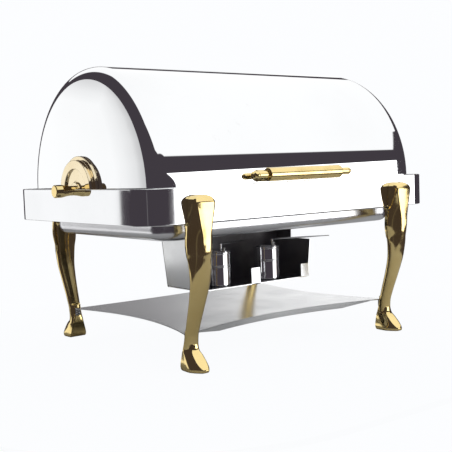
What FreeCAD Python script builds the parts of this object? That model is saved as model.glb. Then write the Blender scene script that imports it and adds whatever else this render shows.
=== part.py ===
import FreeCAD, Part
import Sketcher
import math
import os

from FreeCAD import Placement, Rotation, Vector

# Roll-top chafing dish food warmer.
# Millimetres, +Z up, X along the long side, -Y towards the person who serves.
# The origin is on the floor under the centre of the warmer.

# ---------------------------------------------------------------- driving dimensions
SIZES = {
    # frame band, a rounded rectangle of mirror steel
    "band_x": 300.0,
    "band_y": 206.0,
    "band_corner": 40.0,
    "band_low": 216.0,
    "band_top": 268.0,
    "band_wall": 1.5,
    "hem_width": 4.0,
    "hem_thick": 1.2,
    # lid, a half cylinder that turns about the pivot
    "pivot_z": 266.0,
    "lid_radius": 190.5,
    "lid_x": 273.0,
    "lid_wall": 1.2,
    "lid_shoulder": 20.0,
    "lid_sweep": 184.0,
    "lid_skirt": 6.0,
    "lid_end_rise": 10.0,
    # hinge discs and pivots
    "disc_radius": 53.0,
    "disc_ring": 47.0,
    "disc_crown": 36.0,
    "disc_boss": 13.0,
    "disc_base_x": 287.0,
    "disc_ring_x": 294.2,
    "disc_crown_x": 294.5,
    "disc_face_x": 294.8,
    "disc_flat": 12.0,
    "disc_screw_circle": 34.0,
    "pin_radius": 4.0,
    "pin_inner_x": 279.0,
    "pin_outer_x": 320.0,
    "pin_head_thick": 2.5,
    "bush_radius": 6.5,
    "bush_gap": 0.05,
    "knob_neck": 7.5,
    "knob_head": 10.0,
    "knob_inner_x": 295.3,
    "knob_flare_x": 318.0,
    "knob_outer_x": 330.0,
    "notch_gap": 0.2,
    "bracket_half": 24.0,
    "bracket_low": 224.0,
    "bracket_thick": 3.0,
    # water pan and food pan
    "pan_x": 249.0,
    "pan_y": 171.5,
    "pan_corner": 34.0,
    "pan_low": 189.0,
    "pan_step_z": 213.0,
    "pan_top_x": 257.0,
    "pan_top_y": 176.0,
    "pan_rim_z": 252.0,
    "pan_bend": 16.0,
    "pan_wall": 1.0,
    "rim_x": 266.0,
    "rim_y": 181.0,
    "seat_x": 255.0,
    "seat_y": 152.5,
    "seat_corner": 26.0,
    "seat_thick": 1.2,
    "food_x": 265.0,
    "food_y": 162.5,
    "food_body_x": 252.0,
    "food_body_y": 149.5,
    "food_depth": 40.0,
    "food_wall": 0.8,
    "food_bend": 14.0,
    # supports between the band and the water pan
    "rail_x": 165.0,
    "rail_thick": 2.0,
    "rail_drop": 20.0,
    "ledge_front": 160.0,
    "ledge_back": 62.0,
    "bumper_x": 120.0,
    "bumper_radius": 5.5,
    "bumper_gap": 0.35,
    # legs and the shelf between them
    "leg_x": 210.0,
    "leg_top": 257.0,
    "mount_half": 19.0,
    "mount_depth": 19.0,
    "mount_below": 6.0,
    "mount_fillet": 7.0,
    "leg_screw_reach": 9.0,
    "shelf_screw_z": 43.0,
    "shelf_low": 50.0,
    "shelf_thick": 1.6,
    "shelf_tip_x": 215.0,
    "shelf_tip_y": 168.4,
    "shelf_waist_x": 185.0,
    "shelf_front_y": 131.0,
    "shelf_rear_y": 160.0,
    "shelf_tip_half": 5.0,
    "shelf_tab_drop": 12.0,
    # burner tray
    "tray_x": 121.0,
    "tray_flare": 8.0,
    "tray_lean": 10.0,
    "tray_front": -80.0,
    "tray_back": 8.0,
    "tray_low": 93.5,
    "tray_top": 160.0,
    "tray_thick": 1.5,
    "tab_half": 9.5,
    "tab_tall": 28.0,
    "ear_front": -30.0,
    "weld_flange": 12.5,
    # burners and their snuffers
    "burner_x": 55.0,
    "burner_y": -45.0,
    "burner_radius": 23.5,
    "burner_tall": 56.0,
    "burner_wall": 0.9,
    "burner_gap": 0.3,
    "rib_proud": 0.8,
    "rib_tall": 3.5,
    "rib_up": 31.36,
    "rim_tall": 2.0,
    "cover_thick": 1.2,
    "tin_radius": 20.0,
    "tin_tall": 48.0,
    "mouth_radius": 15.0,
    "snuffer_radius": 18.0,
    "snuffer_thick": 1.4,
    "snuffer_reach_left": 98.0,
    "snuffer_reach_right": 122.0,
    "snuffer_rise": 8.4,
    "snuffer_pivot": 19.5,
    "snuffer_pin": 1.5,
    "snuffer_gap": 0.3,
    "snuffer_ear": 4.5,
    "leaf_root": 8.0,
    "leaf_half": 7.0,
    "leaf_strip": 2.2,
    "leaf_thick": 1.6,
    "leaf_foot": 2.4,
    "leaf_foot_out": 11.0,
    # lid handle
    "grip_y": -203.5,
    "grip_z": 280.0,
    "grip_radius": 10.5,
    "grip_half": 76.0,
    "rod_radius": 6.0,
    "rod_half": 103.0,
    "post_x": 89.0,
    "post_radius": 5.0,
    # fasteners
    "screw_radius": 2.0,
    "screw_head": 4.0,
    "screw_gap": 0.1,
}

FOUR_CORNERS = [
    ("front_left", -1, -1),
    ("front_right", 1, -1),
    ("rear_left", -1, 1),
    ("rear_right", 1, 1),
]
TWO_SIDES = [("left", -1), ("right", 1)]

doc = FreeCAD.newDocument("chafing_dish")
sheet = doc.addObject("Spreadsheet::Sheet", "Sizes")
for row, (alias, number) in enumerate(SIZES.items(), start=1):
    sheet.set(f"A{row}", alias)
    sheet.set(f"B{row}", str(number))
    sheet.setAlias(f"B{row}", alias)
doc.recompute()


class Size:
    """A length that carries both its value and its spreadsheet expression."""

    def __init__(self, value, text):
        self.value = value
        self.text = text

    def __add__(self, other):
        other = as_size(other)
        return Size(self.value + other.value, f"({self.text} + {other.text})")

    def __radd__(self, other):
        return as_size(other) + self

    def __sub__(self, other):
        other = as_size(other)
        return Size(self.value - other.value, f"({self.text} - {other.text})")

    def __rsub__(self, other):
        return as_size(other) - self

    def __mul__(self, number):
        return Size(self.value * number, f"({self.text} * {number})")

    __rmul__ = __mul__

    def __neg__(self):
        return self * -1


def as_size(value):
    return value if isinstance(value, Size) else Size(float(value), f"({float(value)})")


def size(alias):
    """One driving dimension of the sheet."""
    return Size(SIZES[alias], f"Sizes.{alias}")


def bind(item, **properties):
    """Tie properties to sheet expressions; a double underscore stands for a dot."""
    for key, value in properties.items():
        item.setExpression(key.replace("__", "."), as_size(value).text)


def bind_base(item, x=0, y=0, z=0):
    bind(item, Placement__Base__x=x, Placement__Base__y=y, Placement__Base__z=z)


# ---------------------------------------------------------------- simple solids
AXIS_TURN = {
    "X": Rotation(Vector(0, 0, 1), Vector(1, 0, 0)),
    "Y": Rotation(Vector(0, 0, 1), Vector(0, 1, 0)),
    "Z": Rotation(),
}


def rod(name, axis, radius, length, x=0, y=0, z=0):
    """Round bar that starts at x, y, z and runs along +axis."""
    item = doc.addObject("Part::Cylinder", name)
    item.Placement = Placement(Vector(), AXIS_TURN[axis])
    bind(item, Radius=radius, Height=length)
    bind_base(item, x, y, z)
    return item


def taper(name, axis, first, last, length, x=0, y=0, z=0):
    """Round bar whose radius goes from first to last along +axis."""
    item = doc.addObject("Part::Cone", name)
    item.Placement = Placement(Vector(), AXIS_TURN[axis])
    bind(item, Radius1=first, Radius2=last, Height=length)
    bind_base(item, x, y, z)
    return item


def block(name, x, y, z, wide, deep, tall):
    """Box with its low corner at x, y, z."""
    item = doc.addObject("Part::Box", name)
    bind(item, Length=wide, Width=deep, Height=tall)
    bind_base(item, x, y, z)
    return item


def ball(name, radius, x, y, z):
    item = doc.addObject("Part::Sphere", name)
    bind(item, Radius=radius)
    bind_base(item, x, y, z)
    return item


def fuse(name, pieces):
    item = doc.addObject("Part::MultiFuse", name)
    item.Shapes = pieces
    item.Refine = True
    return item


def cut(name, base, tools):
    item = doc.addObject("Part::Cut", name)
    item.Base = base
    item.Tool = tools[0] if len(tools) == 1 else fuse(name + "_tools", tools)
    return item


def common(name, first, second):
    item = doc.addObject("Part::Common", name)
    item.Base = first
    item.Tool = second
    return item


def group(name, pieces):
    """Several separate solids in one node."""
    item = doc.addObject("Part::Compound", name)
    item.Links = pieces
    return item


# ---------------------------------------------------------------- bodies from sketches
def new_body(name):
    return doc.addObject("PartDesign::Body", name)


def sketch_on(body, role, offset=0):
    """Sketch on one of the body's own origin planes, lifted along its normal."""
    plane = [item for item in body.Origin.OriginFeatures if item.Role == role][0]
    sketch = body.newObject("Sketcher::SketchObject", f"{body.Name}_outline")
    sketch.AttachmentSupport = [(plane, "")]
    sketch.MapMode = "FlatFace"
    bind(sketch, AttachmentOffset__Base__z=offset)
    return sketch


def tie(sketch, kind, geometry, point, value, tag):
    """Give one point of the sketch a bound coordinate."""
    index = sketch.addConstraint(Sketcher.Constraint(kind, -1, 1, geometry, point, value.value))
    sketch.renameConstraint(index, tag)
    sketch.setExpression(f"Constraints.{tag}", value.text)


def polygon(sketch, corners):
    """Closed outline through the corners, each an (across, up) pair of sizes."""
    corners = [(as_size(across), as_size(up)) for across, up in corners]
    first = sketch.GeometryCount
    for number, (across, up) in enumerate(corners):
        next_across, next_up = corners[(number + 1) % len(corners)]
        begin = Vector(across.value, up.value, 0)
        finish = Vector(next_across.value, next_up.value, 0)
        sketch.addGeometry(Part.LineSegment(begin, finish), False)
    for number, (across, up) in enumerate(corners):
        line = first + number
        after = first + (number + 1) % len(corners)
        sketch.addConstraint(Sketcher.Constraint("Coincident", line, 2, after, 1))
        tie(sketch, "DistanceX", line, 1, across, f"across{line}")
        tie(sketch, "DistanceY", line, 1, up, f"up{line}")


def bound_radius(sketch, index, radius):
    place = sketch.addConstraint(Sketcher.Constraint("Radius", index, radius.value))
    sketch.renameConstraint(place, f"radius{index}")
    sketch.setExpression(f"Constraints.radius{index}", radius.text)


def rounded_rectangle(sketch, half_x, half_y, corner):
    """Rectangle about the origin, with the same arc at each corner."""
    half_x, half_y, corner = as_size(half_x), as_size(half_y), as_size(corner)
    flat_x = half_x - corner
    flat_y = half_y - corner
    first = sketch.GeometryCount
    for quarter, (right, up) in enumerate([(1, 1), (-1, 1), (-1, -1), (1, -1)]):
        centre = Vector(right * flat_x.value, up * flat_y.value, 0)
        arc = Part.ArcOfCircle(
            Part.Circle(centre, Vector(0, 0, 1), corner.value),
            quarter * math.pi / 2,
            (quarter + 1) * math.pi / 2,
        )
        sketch.addGeometry(arc, False)
    for quarter in range(4):
        begin = sketch.getPoint(first + quarter, 2)
        finish = sketch.getPoint(first + (quarter + 1) % 4, 1)
        sketch.addGeometry(Part.LineSegment(begin, finish), False)
    for quarter, (right, up) in enumerate([(1, 1), (-1, 1), (-1, -1), (1, -1)]):
        arc = first + quarter
        line = first + 4 + quarter
        after = first + (quarter + 1) % 4
        sketch.addConstraint(Sketcher.Constraint("Tangent", arc, 2, line, 1))
        sketch.addConstraint(Sketcher.Constraint("Tangent", line, 2, after, 1))
        tie(sketch, "DistanceX", arc, 3, flat_x * right, f"across{arc}")
        tie(sketch, "DistanceY", arc, 3, flat_y * up, f"up{arc}")
    bound_radius(sketch, first, corner)
    for quarter in range(1, 4):
        sketch.addConstraint(Sketcher.Constraint("Equal", first, first + quarter))


def pad(body, sketch, length):
    feature = body.newObject("PartDesign::Pad", f"{body.Name}_pad")
    feature.Profile = sketch
    bind(feature, Length=length)
    return feature


def plate(name, role, corners, start, length):
    """Straight extrusion of a polygon."""
    body = new_body(name)
    sketch = sketch_on(body, role, start)
    polygon(sketch, corners)
    pad(body, sketch, length)
    return body


def slab(name, half_x, half_y, corner, low, tall, bend=None):
    """Rounded rectangular block about the origin, its lower edges bent if asked."""
    body = new_body(name)
    sketch = sketch_on(body, "XY_Plane", low)
    rounded_rectangle(sketch, half_x, half_y, corner)
    feature = pad(body, sketch, tall)
    if bend is not None:
        doc.recompute()
        edges = [
            f"Edge{number}"
            for number, edge in enumerate(feature.Shape.Edges, start=1)
            if all(abs(vertex.Z - low.value) < 0.01 for vertex in edge.Vertexes)
        ]
        fillet = body.newObject("PartDesign::Fillet", f"{name}_bend")
        fillet.Base = (feature, edges)
        bind(fillet, Radius=bend)
        body.Tip = fillet
    return body


def ring(name, outer, inner, low, tall):
    """Flat ring between two rounded rectangles."""
    body = new_body(name)
    sketch = sketch_on(body, "XY_Plane", low)
    rounded_rectangle(sketch, *outer)
    rounded_rectangle(sketch, *inner)
    pad(body, sketch, tall)
    return body


nodes = {}


def keep(name, item):
    """Register a finished sub-part under its node name."""
    item.Label = name
    nodes[name] = item


# ---------------------------------------------------------------- frame band
def frame_band():
    band_x, band_y, corner = size("band_x"), size("band_y"), size("band_corner")
    wall, hem = size("band_wall"), size("hem_width")
    low, top, thick = size("band_low"), size("band_top"), size("hem_thick")
    outer = (band_x, band_y, corner)
    inside = (band_x - wall, band_y - wall, corner - wall)
    hem_inside = (band_x - hem, band_y - hem, corner - hem)
    pieces = [
        ring("band_wall_ring", outer, inside, low, top - low),
        ring("band_low_hem", outer, hem_inside, low, thick),
        ring("band_top_hem", outer, hem_inside, top - thick, thick),
    ]
    solid = fuse("band_solid", pieces)
    holes = []
    notch = size("knob_neck") + size("notch_gap")
    for side, sign in TWO_SIDES:
        start = band_x * sign - 10
        holes.append(rod(f"band_notch_{side}", "X", notch, 20, start, 0, size("pivot_z")))
        holes.append(
            block(f"band_slot_{side}", start, -notch, size("pivot_z"), 20, notch * 2, 10)
        )
    for corner_name, right, front in FOUR_CORNERS:
        for number, height in enumerate(LEG_SCREW_HEIGHTS):
            holes.append(
                rod(
                    f"band_hole_{corner_name}_{number}",
                    "Y",
                    size("screw_radius") + size("screw_gap"),
                    20,
                    size("leg_x") * right,
                    band_y * front - 10,
                    height,
                )
            )
    keep("frame_band", cut("band_final", solid, holes))


# ---------------------------------------------------------------- legs
LEG_SCREW_HEIGHTS = [230.0, 246.0]

# Stations of the cabriole leg: height, distance of its back and its front face from
# the middle of the warmer, half width, and how square its section is.
LEG_STATIONS = [
    (216.0, 193.0, 222.0, 20.5, 3.4),
    (188.0, 194.0, 223.5, 22.0, 3.0),
    (158.0, 198.0, 220.0, 19.5, 2.7),
    (130.0, 195.0, 214.0, 16.2, 2.5),
    (100.0, 186.0, 204.0, 13.2, 2.4),
    (75.0, 177.5, 194.5, 11.4, 2.3),
    (50.0, 169.8, 186.2, 10.5, 2.3),
    (30.0, 168.0, 187.0, 11.8, 2.4),
    (14.0, 168.0, 198.0, 15.0, 2.6),
    (5.0, 169.5, 210.5, 16.8, 2.8),
    (0.0, 171.0, 209.0, 16.4, 2.8),
]
SECTION_POINTS = 24


def leg_section(height, back, front, half_width, squareness):
    """Closed curve of a superellipse at one height, for the front right leg."""
    middle = (back + front) / 2
    half_depth = (front - back) / 2
    points = []
    for number in range(SECTION_POINTS):
        angle = 2 * math.pi * number / SECTION_POINTS
        across = math.copysign(abs(math.cos(angle)) ** (2 / squareness), math.cos(angle))
        deep = math.copysign(abs(math.sin(angle)) ** (2 / squareness), math.sin(angle))
        points.append(Vector(half_width * across, middle + half_depth * deep, height))
    curve = Part.BSplineCurve()
    curve.interpolate(points, PeriodicFlag=True)
    return Part.Wire([curve.toShape()])


def leg_shape():
    """Cast leg that stands behind +Y, with its mounting pad on the band's face."""
    sections = [leg_section(*station) for station in reversed(LEG_STATIONS)]
    shank = Part.makeLoft(sections, True, False)
    pad_low = SIZES["band_low"] - SIZES["mount_below"]
    pad_top = SIZES["leg_top"]
    face = SIZES["band_y"]
    half_width = SIZES["mount_half"]
    depth = SIZES["mount_depth"]
    upright = Part.makeBox(
        2 * half_width, depth, pad_top - pad_low, Vector(-half_width, face, pad_low)
    )
    outer_edges = [
        edge
        for edge in upright.Edges
        if all(vertex.Y > face + depth - 0.01 for vertex in edge.Vertexes)
        or all(vertex.Z > pad_top - 0.01 and vertex.Y > face for vertex in edge.Vertexes)
    ]
    upright = upright.makeFillet(SIZES["mount_fillet"], outer_edges)
    trim = Part.makeBox(100, face, 100, Vector(-50, 0, SIZES["band_low"] - 0.4))
    solid = shank.fuse(upright).cut(trim)
    flat_depth = SIZES["shelf_tip_y"] + SIZES["shelf_thick"]
    shelf_flat = Part.makeBox(40, 20, 24, Vector(-20, flat_depth - 20, 36))
    solid = solid.cut(shelf_flat)
    bore = SIZES["screw_radius"] + SIZES["screw_gap"]
    for height in LEG_SCREW_HEIGHTS:
        hole = Part.makeCylinder(bore, 10.5, Vector(0, face - 0.5, height), Vector(0, 1, 0))
        solid = solid.cut(hole)
    hole_start = Vector(0, flat_depth - 1, SIZES["shelf_screw_z"])
    shelf_hole = Part.makeCylinder(bore, 9, hole_start, Vector(0, 1, 0))
    return solid.cut(shelf_hole).removeSplitter()


def legs():
    shape = leg_shape()
    mirrored = shape.mirror(Vector(0, 0, 0), Vector(0, 1, 0))
    for corner_name, right, front in FOUR_CORNERS:
        item = doc.addObject("Part::Feature", f"leg_{corner_name}")
        item.Shape = shape if front > 0 else mirrored
        item.Placement = Placement(Vector(), Rotation())
        bind_base(item, size("leg_x") * right)
        keep(f"leg_{corner_name}", item)


def leg_screws():
    """Two screws to each leg, their heads inside the band."""
    screws = []
    inner = size("band_y") - size("band_wall")
    head_tall = 2.4
    shank_long = size("leg_screw_reach") + size("band_wall")
    for corner_name, right, front in FOUR_CORNERS:
        for number, height in enumerate(LEG_SCREW_HEIGHTS):
            tag = f"{corner_name}_{number}"
            x = size("leg_x") * right
            head_start = inner * front - (head_tall if front > 0 else 0)
            shank_start = inner * front - (head_tall if front > 0 else shank_long)
            head = rod(f"leg_head_{tag}", "Y", size("screw_head"), head_tall, x, head_start, height)
            shank = rod(
                f"leg_shank_{tag}",
                "Y",
                size("screw_radius"),
                shank_long + (head_tall if front > 0 else 0),
                x,
                shank_start,
                height,
            )
            screws.append(fuse(f"leg_screw_{tag}", [head, shank]))
    keep("leg_screws", group("leg_screw_group", screws))


# ---------------------------------------------------------------- shelf
SHELF_STEPS = 8


def shelf():
    """Thin plate with four long points; all its edges bow inwards."""
    tip_x, tip_y = size("shelf_tip_x"), size("shelf_tip_y")
    waist_x = size("shelf_waist_x")
    tip_half = size("shelf_tip_half")
    tab_drop = size("shelf_tab_drop")
    corners = []

    def bowed(begin, finish, sink_x, sink_y):
        """Points of a shallow bow from begin to finish, deepest half way."""
        for step in range(SHELF_STEPS):
            along = step / SHELF_STEPS
            bow = 4 * along * (1 - along)
            across = begin[0] * (1 - along) + finish[0] * along + sink_x * bow
            up = begin[1] * (1 - along) + finish[1] * along + sink_y * bow
            corners.append((across, up))
        corners.append(finish)

    inner_x = tip_x - 2 * tip_half
    front_sink = tip_y - size("shelf_front_y")
    rear_sink = tip_y - size("shelf_rear_y")
    side_sink = tip_x - waist_x
    bowed((-inner_x, -tip_y), (inner_x, -tip_y), as_size(0), front_sink)
    bowed((tip_x, -tip_y), (tip_x, tip_y), -side_sink, as_size(0))
    bowed((inner_x, tip_y), (-inner_x, tip_y), as_size(0), -rear_sink)
    bowed((-tip_x, tip_y), (-tip_x, -tip_y), side_sink, as_size(0))
    top = plate("shelf_top", "XY_Plane", corners, size("shelf_low"), size("shelf_thick"))
    pieces = [top]
    lip_top = size("shelf_low")
    for corner_name, right, front in FOUR_CORNERS:
        y = tip_y * front - (size("shelf_thick") if front > 0 else 0)
        tab = block(
            f"shelf_tab_{corner_name}",
            tip_x * right - (2 * tip_half if right > 0 else 0),
            y,
            lip_top - tab_drop,
            2 * tip_half,
            size("shelf_thick"),
            tab_drop + size("shelf_thick") * 0.5,
        )
        pieces.append(tab)
    solid = fuse("shelf_solid", pieces)
    holes = [
        rod(
            f"shelf_hole_{corner_name}",
            "Y",
            size("screw_radius") + size("screw_gap"),
            8,
            (tip_x - tip_half) * right,
            tip_y * front - 4,
            size("shelf_screw_z"),
        )
        for corner_name, right, front in FOUR_CORNERS
    ]
    keep("shelf", cut("shelf_final", solid, holes))


def shelf_screws():
    """Round-headed screws through the shelf's tabs into the legs."""
    screws = []
    inner = size("shelf_tip_y") - size("shelf_thick")
    x_out = size("shelf_tip_x") - size("shelf_tip_half")
    head_tall = 3.2
    reach = 7.5
    for corner_name, right, front in FOUR_CORNERS:
        head_start = inner * front - (head_tall if front > 0 else 0)
        head = rod(
            f"shelf_head_{corner_name}",
            "Y",
            size("screw_head"),
            head_tall,
            x_out * right,
            head_start,
            size("shelf_screw_z"),
        )
        shank = rod(
            f"shelf_shank_{corner_name}",
            "Y",
            size("screw_radius"),
            reach + head_tall,
            x_out * right,
            inner * front - (head_tall if front > 0 else reach),
            size("shelf_screw_z"),
        )
        screws.append(fuse(f"shelf_screw_{corner_name}", [head, shank]))
    keep("shelf_screws", group("shelf_screw_group", screws))


# ---------------------------------------------------------------- water pan and seats
def water_pan():
    """Deep-drawn pan: a bath below, a wider step above it and a flat flange."""
    wall, corner, bend = size("pan_wall"), size("pan_corner"), size("pan_bend")
    low, step, top = size("pan_low"), size("pan_step_z"), size("pan_rim_z")
    bath = (size("pan_x"), size("pan_y"))
    upper = (size("pan_top_x"), size("pan_top_y"))
    outside = fuse(
        "pan_outside",
        [
            slab("pan_bath", *bath, corner, low, step + wall - low, bend),
            slab("pan_upper", *upper, corner + 4, step, top - step),
            slab("pan_flange", size("rim_x"), size("rim_y"), corner + 10, top - wall, wall),
        ],
    )
    inside = fuse(
        "pan_inside",
        [
            slab(
                "pan_bath_space",
                bath[0] - wall,
                bath[1] - wall,
                corner - wall,
                low + wall,
                top - low,
                bend - wall,
            ),
            slab(
                "pan_upper_space",
                upper[0] - wall,
                upper[1] - wall,
                corner + 4 - wall,
                step + wall,
                top - step,
            ),
        ],
    )
    keep("water_pan", cut("pan_final", outside, [inside]))


def pan_surround():
    """Ring on the water pan's flange that carries the food pan's rim."""
    surround = ring(
        "surround_ring",
        (size("rim_x"), size("rim_y"), size("pan_corner") + 10),
        (size("seat_x"), size("seat_y"), size("seat_corner")),
        size("pan_rim_z"),
        size("seat_thick"),
    )
    keep("pan_surround", surround)


def food_pan():
    rim_z = size("pan_rim_z") + size("seat_thick") + 0.3
    wall = size("food_wall")
    low = rim_z + wall - size("food_depth")
    body_x, body_y = size("food_body_x"), size("food_body_y")
    corner = size("seat_corner") - 3
    outside = slab("food_outside", body_x, body_y, corner, low, rim_z + wall - low, size("food_bend"))
    inside = slab(
        "food_inside",
        body_x - wall,
        body_y - wall,
        corner - wall,
        low + wall,
        size("food_depth"),
        size("food_bend") - wall,
    )
    rim = ring(
        "food_rim",
        (size("food_x"), size("food_y"), 20),
        (body_x - wall, body_y - wall, corner - wall),
        rim_z,
        wall,
    )
    keep("food_pan", fuse("food_final", [cut("food_hollow", outside, [inside]), rim]))


def pan_supports():
    """Angles between the band and the water pan, on the side that the lid never sweeps."""
    thick = size("rail_thick")
    top = size("pan_rim_z") - size("pan_wall")
    inner_y = size("band_y") - size("band_wall")
    inner_x = size("band_x") - size("band_wall")
    shelf_y = size("pan_top_y") + 1
    rail_top = plate(
        "front_rail_body",
        "YZ_Plane",
        [
            (-inner_y, top - size("rail_drop")),
            (-inner_y + thick, top - size("rail_drop")),
            (-inner_y + thick, top - thick),
            (-shelf_y, top - thick),
            (-shelf_y, top),
            (-inner_y, top),
        ],
        -size("rail_x"),
        size("rail_x") * 2,
    )
    keep("front_rail", rail_top)
    for side, sign in TWO_SIDES:
        shelf_x = size("pan_top_x") + 1
        ledge = plate(
            f"ledge_body_{side}",
            "XZ_Plane",
            [
                (inner_x * sign, top - size("rail_drop")),
                ((inner_x - thick) * sign, top - size("rail_drop")),
                ((inner_x - thick) * sign, top - thick),
                (shelf_x * sign, top - thick),
                (shelf_x * sign, top),
                (inner_x * sign, top),
            ],
            size("ledge_back"),
            size("ledge_front") - size("ledge_back"),
        )
        keep(f"end_ledge_{side}", ledge)


def lid_bumpers():
    """Rubber buttons on the front rail that the closed lid comes down on."""
    low = size("pan_rim_z") - size("pan_wall")
    edge_z = size("pivot_z") - size("lid_radius") * math.sin(math.radians(SIZES["lid_sweep"] / 2 - 90))
    tall = edge_z - size("bumper_gap") - low
    pieces = [
        rod(
            f"bumper_{side}",
            "Z",
            size("bumper_radius"),
            tall,
            size("bumper_x") * sign,
            -size("lid_radius") + 1,
            low,
        )
        for side, sign in TWO_SIDES
    ]
    keep("lid_bumpers", group("bumper_group", pieces))


# ---------------------------------------------------------------- pivots and side knobs
def along_x(sign, near, far):
    """Start and length of a bar between two distances on one side of the middle."""
    return (near if sign > 0 else -far), far - near


def pivots():
    axis_z = size("pivot_z")
    for side, sign in TWO_SIDES:
        start, length = along_x(sign, size("pin_inner_x"), size("pin_outer_x"))
        pin = rod(f"pin_rod_{side}", "X", size("pin_radius"), length, start, 0, axis_z)
        head_start = size("pin_inner_x") - size("pin_head_thick")
        start, length = along_x(sign, head_start, size("pin_inner_x"))
        head = rod(f"pin_head_{side}", "X", size("bush_radius") + 1.5, length, start, 0, axis_z)
        keep(f"pivot_pin_{side}", fuse(f"pin_final_{side}", [pin, head]))

        neck, mouth = size("knob_neck"), size("knob_head")
        start, length = along_x(sign, size("knob_inner_x"), size("band_x"))
        collar = rod(f"knob_collar_{side}", "X", neck, length, start, 0, axis_z)
        start, length = along_x(sign, size("band_x"), size("knob_flare_x"))
        radii = (neck, mouth) if sign > 0 else (mouth, neck)
        flare = taper(f"knob_flare_{side}", "X", *radii, length, start, 0, axis_z)
        start, length = along_x(sign, size("knob_flare_x"), size("knob_outer_x"))
        cap = rod(f"knob_cap_{side}", "X", mouth, length, start, 0, axis_z)
        start, length = along_x(sign, size("knob_inner_x") - 1, size("pin_outer_x") + 0.3)
        bore_radius = size("pin_radius") + size("bush_gap")
        bore = rod(f"knob_bore_{side}", "X", bore_radius, length, start, 0, axis_z)
        knob = fuse(f"knob_solid_{side}", [collar, flare, cap])
        keep(f"side_knob_{side}", cut(f"knob_final_{side}", knob, [bore]))

        inner_x = size("band_x") - size("band_wall")
        start, length = along_x(sign, inner_x - size("bracket_thick"), inner_x)
        half, low = size("bracket_half"), size("bracket_low")
        tall = axis_z - 1 - low
        bracket = block(f"bracket_plate_{side}", start, -half, low, length, half * 2, tall)
        notch = neck + size("notch_gap")
        bracket_notch = rod(f"bracket_notch_{side}", "X", notch, 20, start - 8, 0, axis_z)
        keep(f"pivot_bracket_{side}", cut(f"bracket_final_{side}", bracket, [bracket_notch]))


# ---------------------------------------------------------------- lid
DISC_SCREW_ANGLES = [35.0, 90.0, 145.0]


def disc_screw_places():
    """Place along Y and height above the pivot of each disc screw."""
    circle = SIZES["disc_screw_circle"]
    for angle in DISC_SCREW_ANGLES:
        turn = math.radians(angle)
        yield circle * math.cos(turn), circle * math.sin(turn)


def lid_cover():
    """Rolled skin with rounded shoulders, revolved about the pivot axis."""
    outer, wall = size("lid_radius"), size("lid_wall")
    shoulder, half = size("lid_shoulder"), size("lid_x")
    flat_x, flat_r = half - shoulder, outer - shoulder
    body = new_body("lid_skin")
    bind_base(body, z=size("pivot_z"))
    sketch = sketch_on(body, "XZ_Plane")

    def line(begin, finish):
        ends = [Vector(across.value, up.value, 0) for across, up in (begin, finish)]
        index = sketch.addGeometry(Part.LineSegment(*ends), False)
        for point, (across, up) in ((1, begin), (2, finish)):
            tie(sketch, "DistanceX", index, point, across, f"across{index}_{point}")
            tie(sketch, "DistanceY", index, point, up, f"up{index}_{point}")

    def shoulder_arc(sign, radius):
        centre = Vector(sign * flat_x.value, flat_r.value, 0)
        begin = 0 if sign > 0 else math.pi / 2
        arc = Part.ArcOfCircle(
            Part.Circle(centre, Vector(0, 0, 1), radius.value), begin, begin + math.pi / 2
        )
        index = sketch.addGeometry(arc, False)
        tie(sketch, "DistanceX", index, 3, flat_x * sign, f"across{index}")
        return index

    line((-flat_x, outer), (flat_x, outer))
    line((half, flat_r), (half - wall, flat_r))
    line((flat_x, outer - wall), (-flat_x, outer - wall))
    line((-half + wall, flat_r), (-half, flat_r))
    joins = [
        (shoulder_arc(1, shoulder), 1, 1, 0, 2),
        (shoulder_arc(1, shoulder - wall), 1, 2, 2, 1),
        (shoulder_arc(-1, shoulder), 3, 2, 0, 1),
        (shoulder_arc(-1, shoulder - wall), 3, 1, 2, 2),
    ]
    for number, (arc, low_line, low_point, top_line, top_point) in enumerate(joins):
        low_end, top_end = (1, 2) if number < 2 else (2, 1)
        sketch.addConstraint(Sketcher.Constraint("Coincident", arc, low_end, low_line, low_point))
        sketch.addConstraint(Sketcher.Constraint("Coincident", arc, top_end, top_line, top_point))
    revolve = body.newObject("PartDesign::Revolution", "lid_revolve")
    revolve.Profile = sketch
    revolve.ReferenceAxis = (sketch, ["H_Axis"])
    revolve.Midplane = True
    bind(revolve, Angle=size("lid_sweep"))
    holes = []
    for side, sign in TWO_SIDES:
        holes.append(post_hole(f"skin_hole_{side}", sign, size("screw_radius") + size("screw_gap")))
    keep("lid_cover", cut("lid_cover_final", body, holes))


def lid_dome(name, sign, inset=0.0):
    """Large ball whose cap is the domed end of the lid, less an inset."""
    edge = size("lid_radius") - size("lid_shoulder")
    rise = size("lid_end_rise")
    radius = Size(
        (edge.value**2 + rise.value**2) / (2 * rise.value),
        f"(({edge.text} ^ 2 + {rise.text} ^ 2) / (2 * {rise.text}))",
    )
    centre = (size("lid_x") + rise - radius) * sign
    return ball(name, radius - inset, centre, 0, size("pivot_z"))


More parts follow.
